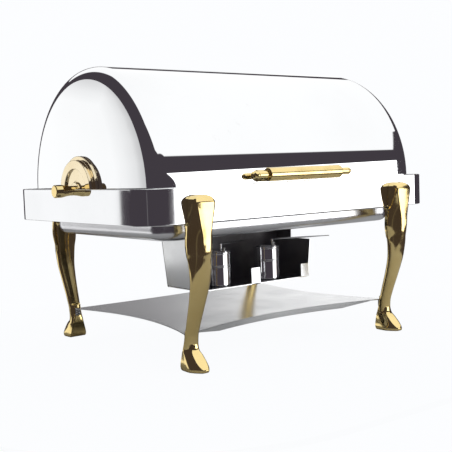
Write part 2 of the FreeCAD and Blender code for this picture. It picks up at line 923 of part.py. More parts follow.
def lid_ends():
    """Shallow domed panels that close the lid, with holes for the bush and the disc screws."""
    wall = size("lid_wall")
    flat_r = size("lid_radius") - size("lid_shoulder")
    axis_z = size("pivot_z")
    reach = size("lid_x") + size("lid_end_rise") + 1
    for side, sign in TWO_SIDES:
        start, length = along_x(sign, size("lid_x") - wall - 1, reach)
        whole = rod(f"end_whole_{side}", "X", flat_r, length, start, 0, axis_z)
        cap = common(f"end_cap_{side}", whole, lid_dome(f"end_outside_{side}", sign))
        shell = cut(f"end_shell_{side}", cap, [lid_dome(f"end_inside_{side}", sign, wall)])
        upper = block(
            f"end_upper_{side}",
            start - 1,
            -flat_r - 1,
            axis_z - size("lid_skirt"),
            length + 2,
            flat_r * 2 + 2,
            flat_r + size("lid_skirt") + 1,
        )
        half = common(f"end_half_{side}", shell, upper)
        hole_radius = size("bush_radius") + 0.5
        holes = [rod(f"end_bore_{side}", "X", hole_radius, length + 2, start - 1, 0, axis_z)]
        for number, (y, up) in enumerate(disc_screw_places()):
            hole = rod(
                f"end_hole_{side}_{number}",
                "X",
                size("screw_radius") + size("screw_gap"),
                length + 2,
                start - 1,
                y,
                axis_z + up,
            )
            holes.append(hole)
        keep(f"lid_end_{side}", cut(f"end_final_{side}", half, holes))


def hinge_discs():
    """Stepped discs seated on the lid's domed ends, cut flat a little below the pivot."""
    axis_z = size("pivot_z")
    dome_x = size("lid_x") + size("lid_end_rise")
    steps = [
        ("disc_radius", "lid_x", "disc_base_x"),
        ("disc_ring", "disc_base_x", "disc_ring_x"),
        ("disc_crown", "disc_ring_x", "disc_crown_x"),
        ("disc_boss", "disc_crown_x", "disc_face_x"),
    ]
    for side, sign in TWO_SIDES:
        pieces = []
        for radius, near, far in steps:
            start, length = along_x(sign, size(near), size(far))
            pieces.append(rod(f"{radius}_step_{side}", "X", size(radius), length, start, 0, axis_z))
        solid = fuse(f"disc_solid_{side}", pieces)
        reach = size("disc_radius") + 1
        start, length = along_x(sign, size("lid_x") - 1, size("disc_face_x") + 1)
        upper = block(
            f"disc_upper_{side}",
            start,
            -reach,
            axis_z - size("disc_flat"),
            length,
            reach * 2,
            reach + size("disc_flat"),
        )
        half = common(f"disc_half_{side}", solid, upper)
        holes = [lid_dome(f"disc_seat_{side}", sign)]
        holes.append(
            rod(f"disc_bore_{side}", "X", size("bush_radius"), length + 10, start - 5, 0, axis_z)
        )
        start, length = along_x(sign, size("lid_x"), dome_x + 6)
        for number, (y, up) in enumerate(disc_screw_places()):
            hole = rod(
                f"disc_hole_{side}_{number}",
                "X",
                size("screw_radius") + size("screw_gap"),
                length,
                start,
                y,
                axis_z + up,
            )
            holes.append(hole)
        keep(f"hinge_disc_{side}", cut(f"disc_final_{side}", half, holes))

        start, length = along_x(sign, size("pin_inner_x") + 0.5, size("disc_face_x"))
        sleeve = rod(f"bush_sleeve_{side}", "X", size("bush_radius"), length, start, 0, axis_z)
        bore_radius = size("pin_radius") + size("bush_gap")
        bore = rod(f"bush_bore_{side}", "X", bore_radius, length + 10, start - 5, 0, axis_z)
        keep(f"pivot_bush_{side}", cut(f"bush_final_{side}", sleeve, [bore]))


def hinge_disc_screws():
    """Screws through the lid's ends from inside, their heads just clear of the dome."""
    screws = []
    head_tall = 2.2
    shank_long = 7.0
    inner = size("lid_x") + size("lid_end_rise") - size("lid_wall") - 0.55
    for side, sign in TWO_SIDES:
        for number, (y, up) in enumerate(disc_screw_places()):
            z = size("pivot_z") + up
            start, length = along_x(sign, inner - head_tall, inner)
            head = rod(f"disc_head_{side}_{number}", "X", size("screw_head"), length, start, y, z)
            start, length = along_x(sign, inner - head_tall, inner + shank_long)
            shank = rod(
                f"disc_shank_{side}_{number}", "X", size("screw_radius"), length, start, y, z
            )
            screws.append(fuse(f"disc_screw_{side}_{number}", [head, shank]))
    keep("hinge_disc_screws", group("disc_screw_group", screws))


# The lid handle stands off the skin along a radius through the pivot axis.
GRIP_RISE = SIZES["grip_z"] - SIZES["pivot_z"]
GRIP_TILT = math.degrees(math.atan2(GRIP_RISE, -SIZES["grip_y"]))
GRIP_DISTANCE = math.hypot(GRIP_RISE, SIZES["grip_y"])


def post_rod(name, sign, radius, near, far):
    """Round bar along the handle's radius, between two distances from the pivot axis."""
    item = doc.addObject("Part::Cylinder", name)
    outward = Rotation(Vector(1, 0, 0), -GRIP_TILT) * Rotation(Vector(0, 0, 1), Vector(0, -1, 0))
    item.Placement = Placement(Vector(), outward)
    bind(item, Radius=radius, Height=as_size(far - near))
    out_y = -math.cos(math.radians(GRIP_TILT))
    out_z = math.sin(math.radians(GRIP_TILT))
    bind_base(item, size("post_x") * sign, near * out_y, size("pivot_z") + near * out_z)
    return item


def post_hole(name, sign, radius):
    return post_rod(name, sign, radius, SIZES["lid_radius"] - 12, GRIP_DISTANCE - 3)


def lid_handle():
    y, z = size("grip_y"), size("grip_z")
    grip = rod("grip_bar", "X", size("grip_radius"), size("grip_half") * 2, -size("grip_half"), y, z)
    bore_radius = size("rod_radius") + size("bush_gap")
    bore_half = size("grip_half") + 5
    grip_bore = rod("grip_bore", "X", bore_radius, bore_half * 2, -bore_half, y, z)
    keep("handle_grip", cut("grip_final", grip, [grip_bore]))

    straight = size("rod_half") - size("rod_radius")
    pieces = [rod("rod_bar", "X", size("rod_radius"), straight * 2, -straight, y, z)]
    for side, sign in TWO_SIDES:
        pieces.append(ball(f"rod_end_{side}", size("rod_radius"), straight * sign, y, z))
    keep("handle_rod", fuse("rod_final", pieces))

    posts = []
    screws = []
    for side, sign in TWO_SIDES:
        body = post_rod(
            f"post_body_{side}", sign, size("post_radius"), SIZES["lid_radius"] - 0.6, GRIP_DISTANCE
        )
        seat = rod(f"post_seat_{side}", "X", bore_radius, 40, size("post_x") * sign - 20, y, z)
        skin = rod(
            f"post_skin_{side}",
            "X",
            size("lid_radius") + size("bush_gap"),
            40,
            size("post_x") * sign - 20,
            0,
            size("pivot_z"),
        )
        hole = post_hole(f"post_hole_{side}", sign, size("screw_radius") + size("screw_gap"))
        posts.append(cut(f"post_{side}", body, [seat, skin, hole]))
        under = SIZES["lid_radius"] - SIZES["lid_wall"]
        head = post_rod(f"handle_head_{side}", sign, size("screw_head"), under - 2.6, under - 0.1)
        shank = post_rod(
            f"handle_shank_{side}", sign, size("screw_radius"), under - 2.6, under + 6
        )
        screws.append(fuse(f"handle_screw_{side}", [head, shank]))
    keep("handle_posts", group("post_group", posts))
    keep("handle_screws", group("handle_screw_group", screws))


# ---------------------------------------------------------------- burner tray
def burner_tray():
    """Bent sheet, open at the front except for a small stop tab. Its left wall hangs from the pan."""
    half, flare, thick = size("tray_x"), size("tray_flare"), size("tray_thick")
    low, top, pan_low, lean = size("tray_low"), size("tray_top"), size("pan_low"), size("tray_lean")
    channel = plate(
        "tray_channel",
        "XZ_Plane",
        [
            (-half, low),
            (half, low),
            (half + flare, top),
            (half + flare - thick, top),
            (half - thick, low + thick),
            (-half + thick, low + thick),
            (-half - lean + thick, pan_low),
            (-half - lean, pan_low),
        ],
        -size("tray_back"),
        size("tray_back") - size("tray_front"),
    )
    tab_half = size("tab_half")
    tab = block(
        "tray_tab", -tab_half, size("tray_front"), low, tab_half * 2, thick, size("tab_tall")
    )
    keep("burner_tray", fuse("tray_final", [channel, tab]))


def tray_back():
    """Sheet that closes the tray's rear and hangs it from the water pan, with an ear at the right."""
    half, flare, thick = size("tray_x"), size("tray_flare"), size("tray_thick")
    low, top, pan_low = size("tray_low"), size("tray_top"), size("pan_low")
    back, wide, wide_left = size("tray_back"), half + flare, half + size("tray_lean")
    wall = plate(
        "tray_back_wall",
        "XZ_Plane",
        [(-half, low), (half, low), (wide, top), (wide, pan_low), (-wide_left, pan_low)],
        -back - thick,
        thick,
    )
    flange = block(
        "tray_weld_flange",
        -wide_left,
        back + thick,
        pan_low - thick,
        wide_left + wide,
        size("weld_flange"),
        thick,
    )
    ear = block(
        "tray_ear",
        wide - thick,
        size("ear_front"),
        top,
        thick,
        back - size("ear_front"),
        pan_low - top,
    )
    keep("tray_back", fuse("tray_back_final", [wall, flange, ear]))


# ---------------------------------------------------------------- burners
# Directions of the two snuffer handles, in degrees from +X. Both swing out to the front.
SNUFFER_AIM = {"left": 18.0, "right": -20.0}


def burners():
    floor = size("tray_low") + size("tray_thick") + size("burner_gap")
    radius, wall, tall = size("burner_radius"), size("burner_wall"), size("burner_tall")
    proud, cover_thick = size("rib_proud"), size("cover_thick")
    for side, sign in TWO_SIDES:
        x, y = size("burner_x") * sign, size("burner_y")
        rim_tall = size("rim_tall")
        outside = rod(f"cup_outside_{side}", "Z", radius - proud, tall, x, y, floor)
        rib = rod(f"cup_rib_{side}", "Z", radius, size("rib_tall"), x, y, floor + size("rib_up"))
        rim = rod(f"cup_rim_{side}", "Z", radius, rim_tall, x, y, floor + tall - rim_tall)
        inside = rod(f"cup_inside_{side}", "Z", radius - proud - wall, tall, x, y, floor + wall)
        cup = fuse(f"cup_solid_{side}", [outside, rib, rim])
        keep(f"burner_cup_{side}", cut(f"cup_final_{side}", cup, [inside]))

        tin_low = floor + wall
        tin = rod(f"tin_outside_{side}", "Z", size("tin_radius"), size("tin_tall"), x, y, tin_low)
        tin_mouth = rod(
            f"tin_inside_{side}", "Z", size("mouth_radius"), size("tin_tall"), x, y, tin_low + 1
        )
        keep(f"fuel_tin_{side}", cut(f"tin_final_{side}", tin, [tin_mouth]))

        cover_low = floor + tall
        cover = rod(f"cover_disc_{side}", "Z", radius, cover_thick, x, y, cover_low)
        mouth = rod(f"cover_mouth_{side}", "Z", size("mouth_radius"), 10, x, y, cover_low - 5)
        pin_y = y - size("snuffer_pivot")
        pin_bore = rod(f"cover_pin_bore_{side}", "Z", size("snuffer_pin"), 10, x, pin_y, cover_low - 5)
        keep(f"burner_cover_{side}", cut(f"cover_final_{side}", cover, [mouth, pin_bore]))

        snuffer_low = cover_low + cover_thick + size("snuffer_gap")
        shaft = rod(f"snuffer_shaft_{side}", "Z", size("snuffer_pin"), 8.2, x, pin_y, cover_low)
        knob = rod(f"snuffer_knob_{side}", "Z", 2.6, 1.4, x, pin_y, snuffer_low + 5.2)
        keep(f"snuffer_pin_{side}", fuse(f"snuffer_pin_final_{side}", [shaft, knob]))
        snuffer(side, x, y, pin_y, snuffer_low)


def snuffer(side, x, y, pin_y, low):
    """Round lid with a leaf-shaped loop handle, turning about the pin."""
    thick = size("snuffer_thick")
    disc = rod(f"snuffer_disc_{side}", "Z", size("snuffer_radius"), thick, x, y, low)
    ear = rod(f"snuffer_ear_{side}", "Z", size("snuffer_ear"), thick, x, pin_y, low)
    bore = rod(f"snuffer_bore_{side}", "Z", size("snuffer_pin") + 0.06, 10, x, pin_y, low - 4)
    solid = fuse(f"snuffer_solid_{side}", [disc, ear])
    keep(f"snuffer_lid_{side}", cut(f"snuffer_final_{side}", solid, [bore]))

    reach = size(f"snuffer_reach_{side}")
    root, wide, strip = size("leaf_root"), size("leaf_half"), size("leaf_strip")
    widest = reach * 0.45
    handle_low = low + thick + size("snuffer_rise")
    outline = [(root, -4.0), (widest, -wide), (reach, 0), (widest, wide), (root, 4.0)]
    hollow = [
        (root + 9, -2.2),
        (widest, strip - wide),
        (reach - 12, 0),
        (widest, wide - strip),
        (root + 9, 2.2),
    ]
    leaf = new_body(f"snuffer_leaf_{side}")
    leaf.Placement = Placement(Vector(), Rotation(Vector(0, 0, 1), SNUFFER_AIM[side]))
    bind_base(leaf, x, y, handle_low)
    sketch = sketch_on(leaf, "XY_Plane")
    polygon(sketch, outline)
    polygon(sketch, hollow)
    pad(leaf, sketch, size("leaf_thick"))
    aim = math.radians(SNUFFER_AIM[side])
    foot_x = x + size("leaf_foot_out") * math.cos(aim)
    foot_y = y + size("leaf_foot_out") * math.sin(aim)
    foot_tall = size("snuffer_rise") + 0.5
    foot = rod(f"snuffer_foot_{side}", "Z", size("leaf_foot"), foot_tall, foot_x, foot_y, low + thick)
    keep(f"snuffer_handle_{side}", fuse(f"snuffer_handle_final_{side}", [leaf, foot]))


# ---------------------------------------------------------------- build and export
frame_band()
legs()
leg_screws()
shelf()
shelf_screws()
water_pan()
pan_surround()
food_pan()
pan_supports()
lid_bumpers()
pivots()
lid_cover()
lid_ends()
hinge_discs()
hinge_disc_screws()
lid_handle()
burner_tray()
tray_back()
burners()
doc.recompute()

for item in doc.Objects:
    if "Invalid" in item.State or "Error" in item.State:
        raise RuntimeError(f"{item.Name} did not compute: {item.State}")

os.makedirs("parts", exist_ok=True)
for name, item in nodes.items():
    shape = item.Shape
    if shape.isNull() or not shape.isValid() or shape.Volume <= 0:
        raise RuntimeError(f"{name} has no valid shape")
    box = shape.optimalBoundingBox(False)
    print(
        f"{name:22s} {len(shape.Solids):2d} solids {shape.Volume / 1000:9.2f} cm3"
        f"  x {box.XMin:7.1f} {box.XMax:7.1f}  y {box.YMin:7.1f} {box.YMax:7.1f}"
        f"  z {box.ZMin:6.1f} {box.ZMax:6.1f}"
    )
    shape.exportStep(f"parts/{name}.step")
print(len(nodes), "nodes")
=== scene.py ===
import math

import bmesh
import bpy
from mathutils import Matrix, Vector


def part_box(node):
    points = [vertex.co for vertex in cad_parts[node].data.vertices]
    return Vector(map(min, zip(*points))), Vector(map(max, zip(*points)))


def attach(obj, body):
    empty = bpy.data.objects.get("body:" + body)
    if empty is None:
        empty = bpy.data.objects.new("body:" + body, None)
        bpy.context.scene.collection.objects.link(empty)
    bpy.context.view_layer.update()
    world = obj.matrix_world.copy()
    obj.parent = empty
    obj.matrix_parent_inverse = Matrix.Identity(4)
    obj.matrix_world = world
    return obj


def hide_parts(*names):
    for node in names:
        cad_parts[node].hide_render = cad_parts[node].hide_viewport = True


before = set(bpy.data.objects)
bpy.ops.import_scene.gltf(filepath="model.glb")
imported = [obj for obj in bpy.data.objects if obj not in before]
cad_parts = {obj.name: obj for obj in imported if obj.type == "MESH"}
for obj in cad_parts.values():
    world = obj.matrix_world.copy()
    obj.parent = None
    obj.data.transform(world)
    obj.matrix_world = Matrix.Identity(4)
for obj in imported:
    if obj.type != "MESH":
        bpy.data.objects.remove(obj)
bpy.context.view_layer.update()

MM = 0.001
SIDES = (("left", -1), ("right", 1))

# sizes that several pieces share, in millimetres; the shared frame's origin is on the floor under the centre
AXIS_Z = 266.0
BAND_LOW, BAND_TOP = 216, 268
BAND_HALF_X, BAND_HALF_Y, BAND_CORNER = 300, 206, 40
SHEET = 1.2
LEG_X = 210
TIP_Y = 168.4


# ---- shader helpers
def put(tree, socket, value):
    """Links value to a socket, or sets it if value is a constant."""
    if isinstance(value, bpy.types.NodeSocket):
        tree.links.new(value, socket)
    else:
        socket.default_value = value


def calc(tree, operation, first, second=0.0, third=0.0):
    node = tree.nodes.new("ShaderNodeMath")
    node.operation = operation
    for socket, value in zip(node.inputs, (first, second, third)):
        put(tree, socket, value)
    return node.outputs[0]


def ramp(tree, value, low, high, to_low=0.0, to_high=1.0, smooth=True):
    """Maps value from low..high to to_low..to_high, clamped, with a soft start and end."""
    node = tree.nodes.new("ShaderNodeMapRange")
    node.interpolation_type = "SMOOTHSTEP" if smooth else "LINEAR"
    put(tree, node.inputs["Value"], value)
    for name, number in (("From Min", low), ("From Max", high), ("To Min", to_low), ("To Max", to_high)):
        put(tree, node.inputs[name], number)
    return node.outputs["Result"]


def polyline(tree, value, points):
    """Piecewise straight function of value through (value, result) points, level beyond both ends."""
    result = points[0][1]
    for (x0, y0), (x1, y1) in zip(points, points[1:]):
        result = calc(tree, "ADD", result, ramp(tree, value, x0, x1, 0.0, y1 - y0, smooth=False))
    return result


def mix_colour(tree, factor, first, second):
    node = tree.nodes.new("ShaderNodeMix")
    node.data_type = "RGBA"
    put(tree, node.inputs["Factor"], factor)
    put(tree, node.inputs["A"], first)
    put(tree, node.inputs["B"], second)
    return node.outputs["Result"]


def noise(tree, scale, stretch=(1, 1, 1), detail=3.0, roughness=0.5, shift=(0, 0, 0)):
    """Noise in the object's own coordinates, so it stays put on the metal."""
    place = tree.nodes.new("ShaderNodeTexCoord")
    mapping = tree.nodes.new("ShaderNodeMapping")
    mapping.inputs["Scale"].default_value = stretch
    mapping.inputs["Location"].default_value = shift
    texture = tree.nodes.new("ShaderNodeTexNoise")
    texture.inputs["Scale"].default_value = scale
    texture.inputs["Detail"].default_value = detail
    texture.inputs["Roughness"].default_value = roughness
    tree.links.new(place.outputs["Object"], mapping.inputs["Vector"])
    tree.links.new(mapping.outputs["Vector"], texture.inputs["Vector"])
    return texture.outputs["Fac"]


def material(name):
    made = bpy.data.materials.new(name)
    made.use_nodes = True
    tree = made.node_tree
    return made, tree, tree.nodes["Principled BSDF"]


def metal(
    name, colour, dull, rough,
    grain=(1, 1, 1), grain_scale=900.0, grain_bump=0.0, patch_scale=14.0, metallic=1.0,
):
    """Polished or brushed metal: broad patches of wear, a fine directional grain, and faint handling marks.

    colour and dull are the clean and the worn tint, rough the lowest and highest roughness."""
    made, tree, shader = material(name)
    shader.inputs["Metallic"].default_value = metallic
    patches = noise(tree, patch_scale, detail=4.0, roughness=0.55)
    fine = noise(tree, grain_scale, stretch=grain, detail=2.0)
    marks = noise(
        tree, patch_scale * 9, stretch=(1, 1.7, 0.6), detail=6.0, roughness=0.7, shift=(0.31, 0.17, 0.05)
    )
    worn = ramp(tree, patches, 0.35, 0.7)
    tint = mix_colour(tree, worn, (*colour, 1), (*dull, 1))
    speck = ramp(tree, marks, 0.62, 0.78, 0.0, 0.5)
    tint = mix_colour(tree, speck, tint, (*[c * 0.9 for c in dull], 1))
    put(tree, shader.inputs["Base Color"], tint)
    spread = calc(tree, "MULTIPLY_ADD", fine, 0.6, calc(tree, "MULTIPLY", worn, 0.4))
    put(tree, shader.inputs["Roughness"], ramp(tree, spread, 0.1, 0.9, rough[0], rough[1], smooth=False))
    if grain_bump:
        bump = tree.nodes.new("ShaderNodeBump")
        bump.inputs["Strength"].default_value = grain_bump
        bump.inputs["Distance"].default_value = 0.00004
        put(tree, bump.inputs["Height"], fine)
        put(tree, shader.inputs["Normal"], bump.outputs["Normal"])
    return made


# the grain runs along the axis that has the small factor
ALONG_X, ALONG_Z = (0.03, 1, 1), (1, 1, 0.05)
mirror_steel = metal("mirror_steel", (0.90, 0.91, 0.925), (0.86, 0.872, 0.885), (0.02, 0.05), patch_scale=5.0)
lid_steel = metal(
    "lid_steel", (0.91, 0.92, 0.93), (0.87, 0.88, 0.89), (0.006, 0.02),
    grain=(0.05, 1, 1), patch_scale=3.0,
)
satin_steel = metal(
    "satin_steel", (0.78, 0.785, 0.79), (0.72, 0.725, 0.73), (0.2, 0.3),
    grain=(0.02, 1, 1), grain_scale=1400.0, grain_bump=0.25,
)
shelf_steel = metal(
    "shelf_steel", (0.80, 0.81, 0.815), (0.76, 0.77, 0.78), (0.16, 0.24),
    grain=(0.02, 1, 1), grain_scale=1200.0, grain_bump=0.12,
)
pan_steel = metal(
    "pan_steel", (0.76, 0.762, 0.78), (0.70, 0.702, 0.72), (0.22, 0.28),
    grain=ALONG_X, grain_scale=1000.0, grain_bump=0.1,
)
# painted shade: near-black matt finish for the tray's rear sheet, standing in for the shade inside the tray
# under the pan
painted_shade_steel = metal(
    "painted_shade_steel", (0.15, 0.14, 0.15), (0.11, 0.1, 0.11), (0.3, 0.42),
    patch_scale=40.0, metallic=0.0,
)
gold = metal("gold", (0.93, 0.735, 0.34), (0.86, 0.66, 0.28), (0.06, 0.13), patch_scale=22.0)
gold_disc = metal("gold_disc", (0.88, 0.76, 0.53), (0.84, 0.71, 0.47), (0.05, 0.1), patch_scale=30.0)
gold_satin = metal(
    "gold_satin", (0.93, 0.735, 0.34), (0.84, 0.64, 0.28), (0.09, 0.2),
    grain=ALONG_X, grain_scale=1100.0, grain_bump=0.1, patch_scale=26.0,
)
screw_steel = metal("screw_steel", (0.7, 0.7, 0.7), (0.6, 0.6, 0.61), (0.2, 0.34), patch_scale=160.0)
tin_metal = metal(
    "tin_metal", (0.84, 0.85, 0.86), (0.74, 0.75, 0.76), (0.22, 0.36),
    grain=ALONG_Z, grain_scale=900.0, grain_bump=0.2, patch_scale=60.0,
)
rubber = metal(
    "rubber", (0.03, 0.03, 0.032), (0.05, 0.05, 0.052), (0.55, 0.75),
    grain_bump=0.5, patch_scale=220.0, metallic=0.0,
)
nylon = metal(
    "nylon", (0.8, 0.8, 0.77), (0.74, 0.73, 0.69), (0.35, 0.5),
    grain_bump=0.2, patch_scale=180.0, metallic=0.0,
)


# ---- mesh helpers, all in millimetres
def circle_points(radius, count):
    angles = [2 * math.pi * i / count for i in range(count)]
    return [(radius * math.cos(angle), radius * math.sin(angle)) for angle in angles]


def rounded(points, radii, steps=4):
    """Closed 2-D outline with its corners turned into arcs of the given radii."""
    if not isinstance(radii, (list, tuple)):
        radii = [radii] * len(points)
    made = []
    count = len(points)
    for i, radius in enumerate(radii):
        before, here, after = Vector(points[i - 1]), Vector(points[i]), Vector(points[(i + 1) % count])
        into, out = (before - here), (after - here)
        angle = into.angle(out)
        if radius <= 0 or angle > math.radians(179):
            made.append(tuple(here))
            continue
        back = min(radius / math.tan(angle / 2), into.length * 0.49, out.length * 0.49)
        start, end = here + into.normalized() * back, here + out.normalized() * back
        for step in range(steps + 1):
            t = step / steps
            made.append(tuple(start * (1 - t) ** 2 + here * 2 * t * (1 - t) + end * t**2))
    return made


def ring_faces(ring_count, size, closed=False):
    """Faces of a tube through ring_count rings of size points each."""
    faces = []
    spans = ring_count if closed else ring_count - 1
    for r in range(spans):
        a, b = r * size, ((r + 1) % ring_count) * size
        for i in range(size):
            j = (i + 1) % size
            faces.append((a + i, a + j, b + j, b + i))
    if not closed:
        faces.append(tuple(reversed(range(size))))
        faces.append(tuple((ring_count - 1) * size + i for i in range(size)))
    return faces


def tube(rings, closed=False):
    """Solid through rings of points. A closed one joins the last ring to the first, an open one is capped."""
    points = [p for ring in rings for p in ring]
    return points, ring_faces(len(rings), len(rings[0]), closed)


def thin(outer, inner):
    """Closed thin solid between two matching grids of points."""
    rows, cols = len(outer), len(outer[0])
    points = [p for row in outer for p in row] + [p for row in inner for p in row]
    half = rows * cols
    faces = []
    for r in range(rows - 1):
        s = r + 1
        for c in range(cols - 1):
            quad = (r * cols + c, r * cols + c + 1, s * cols + c + 1, s * cols + c)
            faces.append(quad)
            faces.append(tuple(half + v for v in reversed(quad)))
        for c in (0, cols - 1):
            a, b = r * cols + c, s * cols + c
            faces.append((a, b, half + b, half + a))
    for r in (0, rows - 1):
        for c in range(cols - 1):
            a, b = r * cols + c, r * cols + c + 1
            faces.append((a, b, half + b, half + a))
    return points, faces


def rounded_rectangle(half_x, half_y, corner, z, steps=16):
    """Ring of points, the same count for every size, so rings can be lofted."""
    ring = []
    for cx, cy, start in (
        (half_x - corner, half_y - corner, 0),
        (corner - half_x, half_y - corner, 90),
        (corner - half_x, corner - half_y, 180),
        (half_x - corner, corner - half_y, 270),
    ):
        for i in range(steps + 1):
            angle = math.radians(start + 90 * i / steps)
            ring.append((cx + corner * math.cos(angle), cy + corner * math.sin(angle), z))
    return ring


def lathe(profile, steps=64, closed=True):
    """Turns (radius, z) points about the Z axis. A closed profile makes a ring, an open one is capped."""
    rings = []
    for radius, z in profile:
        rings.append([(x, y, z) for x, y in circle_points(max(radius, 1e-4), steps)])
    return tube(rings, closed=closed)


def prism(outline, low, high):
    return tube([[(x, y, low) for x, y in outline], [(x, y, high) for x, y in outline]])


def moved(geometry, matrix):
    points, faces = geometry
    return [tuple(matrix @ Vector(p)) for p in points], faces


def joined(*parts):
    points, faces = [], []
    for more_points, more_faces in parts:
        start = len(points)
        points += more_points
        faces += [tuple(start + v for v in face) for face in more_faces]
    return points, faces


def pointing(direction, at=(0, 0, 0)):
    """Turns the Z axis to direction and moves the origin to at."""
    turn = Vector((0, 0, 1)).rotation_difference(Vector(direction)).to_matrix().to_4x4()
    return Matrix.Translation(Vector(at)) @ turn


def mesh_of(name, geometry):
    points, faces = geometry
    mesh = bpy.data.meshes.new(name)
    mesh.from_pydata([(x * MM, y * MM, z * MM) for x, y, z in points], [], faces)
    work = bmesh.new()
    work.from_mesh(mesh)
    bmesh.ops.remove_doubles(work, verts=work.verts, dist=1e-6)
    bmesh.ops.dissolve_degenerate(work, edges=work.edges, dist=1e-7)
    bmesh.ops.recalc_face_normals(work, faces=work.faces)
    work.to_mesh(mesh)
    work.free()
    return mesh


def carve(piece, *cutters):
    """Cuts the cutters' shapes out of the piece's mesh."""
    for geometry in cutters:
        tool = bpy.data.objects.new("cutter", mesh_of("cutter", geometry))
        bpy.context.scene.collection.objects.link(tool)
        change = piece.modifiers.new("carve", "BOOLEAN")
        change.object = tool
        change.solver = "EXACT"
        bpy.context.view_layer.update()
        result = bpy.data.meshes.new_from_object(piece.evaluated_get(bpy.context.evaluated_depsgraph_get()))
        piece.modifiers.clear()
        piece.data = result
        bpy.data.objects.remove(tool)


def slice_off(piece, z):
    """Removes what lies below height z and closes the cut."""
    work = bmesh.new()
    work.from_mesh(piece.data)
    everything = work.verts[:] + work.edges[:] + work.faces[:]
    level, down = (0, 0, z * MM), (0, 0, -1)
    cut = bmesh.ops.bisect_plane(work, geom=everything, plane_co=level, plane_no=down, clear_outer=True)
    edges = [e for e in cut["geom_cut"] if isinstance(e, bmesh.types.BMEdge)]
    bmesh.ops.holes_fill(work, edges=edges)
    bmesh.ops.recalc_face_normals(work, faces=work.faces)
    work.to_mesh(piece.data)
    work.free()


def piece(name, geometry, body, finish, slot, node, bevel=0.0, sharp=38.0):
    """A finished part in place of a CAD node, smooth-shaded with crisp edges where faces meet sharply."""
    made = bpy.data.objects.new(name, mesh_of(name, geometry))
    bpy.context.scene.collection.objects.link(made)
    made.data.materials.append(finish)
    dress(made, bevel, sharp)
    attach(made, body)
    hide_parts(node)
    return made


def dress(made, bevel=0.0, sharp=38.0):
    made.modifiers.clear()
    made.data.polygons.foreach_set("use_smooth", [True] * len(made.data.polygons))
    made.data.set_sharp_from_angle(angle=math.radians(sharp))
    if bevel:
        round_edges = made.modifiers.new("round_edges", "BEVEL")
        round_edges.width = bevel * MM
        round_edges.segments = 3
        round_edges.limit_method = "ANGLE"
        round_edges.angle_limit = math.radians(30)
        round_edges.harden_normals = True
    weights = made.modifiers.new("even_shading", "WEIGHTED_NORMAL")
    weights.keep_sharp = True
    weights.weight = 90


# ---- band, pans and supports
def band():
    """Ring of sheet with a hem along both edges, and a slot at each end for the knob's stem."""
    wall, hem = 1.5, 4
    corners = [(0, BAND_LOW), (0, BAND_TOP), (hem, BAND_TOP), (hem, BAND_TOP - SHEET)]
    corners += [(wall, BAND_TOP - SHEET), (wall, BAND_LOW + SHEET), (hem, BAND_LOW + SHEET), (hem, BAND_LOW)]
    profile = rounded(corners, [1.3, 1.3, 0.4, 0.4, 0.3, 0.3, 0.4, 0.4])
    rings = [rounded_rectangle(BAND_HALF_X - d, BAND_HALF_Y - d, BAND_CORNER - d, z, 24) for d, z in profile]
    shape = tube(rings, closed=True)
    made = piece("frame_band_shell", shape, "base", mirror_steel, "mirror_steel", "frame_band")
    cutters = []
    slot = 7.7
    for _, sign in SIDES:
        angles = [math.radians(a) for a in range(180, 361, 12)]
        outline = [(slot * math.cos(angle), AXIS_Z + slot * math.sin(angle)) for angle in angles]
        outline = [(-slot, 275)] + outline + [(slot, 275)]
        x0, x1 = sign * (BAND_HALF_X - 8), sign * (BAND_HALF_X + 4)
        cutters.append(tube([[(x, y, z) for y, z in outline] for x in (x0, x1)]))
    carve(made, *cutters)
    dress(made)


def pan_shape(outside, inside, low, sheet):
    """Pan with a flat bottom, between its outer and inner rows of (half x, half y, corner, z)."""
    middle = [(60, 40, 8, low), (60, 40, 8, low + sheet)]
    rows = outside + middle + [(x, y, c, max(z, low + sheet)) for x, y, c, z in inside]
    rings = [rounded_rectangle(x, y, c, z) for x, y, c, z in rows]
    points, faces = tube(rings, closed=True)
    size = len(rings[0])
    start = len(outside) * size
    faces.append(tuple(start + i for i in range(size)))
    faces.append(tuple(start + size + i for i in reversed(range(size))))
    around = set(range(start, start + 2 * size))
    return points, [f for f in faces if not (len(f) == 4 and set(f) <= around)]


def water_pan():
    outside = [(266, 181, 44, 252), (266.2, 181.2, 44, 251.6), (266, 181, 44, 251), (258, 177, 39, 251)]
    outside += [(257, 176, 38, 250), (257, 176, 38, 216), (256.4, 175.3, 37.5, 214.4), (254.5, 174, 36, 213)]
    outside += [(250, 172.2, 34.6, 212.6), (249, 171.5, 34, 211.5)]
    outside += bottom_bend(249, 171.5, 34, 205, 189, 16)
    inside = [(x - SHEET, y - SHEET, max(c - SHEET, 2), z) for x, y, c, z in reversed(outside[4:-1])]
    inside += [(258, 177, 39, 252)]
    shape = pan_shape(outside, inside, 189, 1.1)
    piece("water_pan_shell", shape, "base", pan_steel, "satin_steel", "water_pan", sharp=60)


def bottom_bend(half_x, half_y, corner, start_z, low_z, bend, steps=12):
    """Rows that turn a pan's upright wall into its flat bottom."""
    rows = []
    for i in range(steps + 1):
        angle = math.radians(90 * i / steps)
        inset = bend * (1 - math.cos(angle))
        z = low_z + bend * (1 - math.sin(angle))
        rows.append((half_x - inset, half_y - inset, max(corner - inset, 3), min(z, start_z + 8)))
    return rows


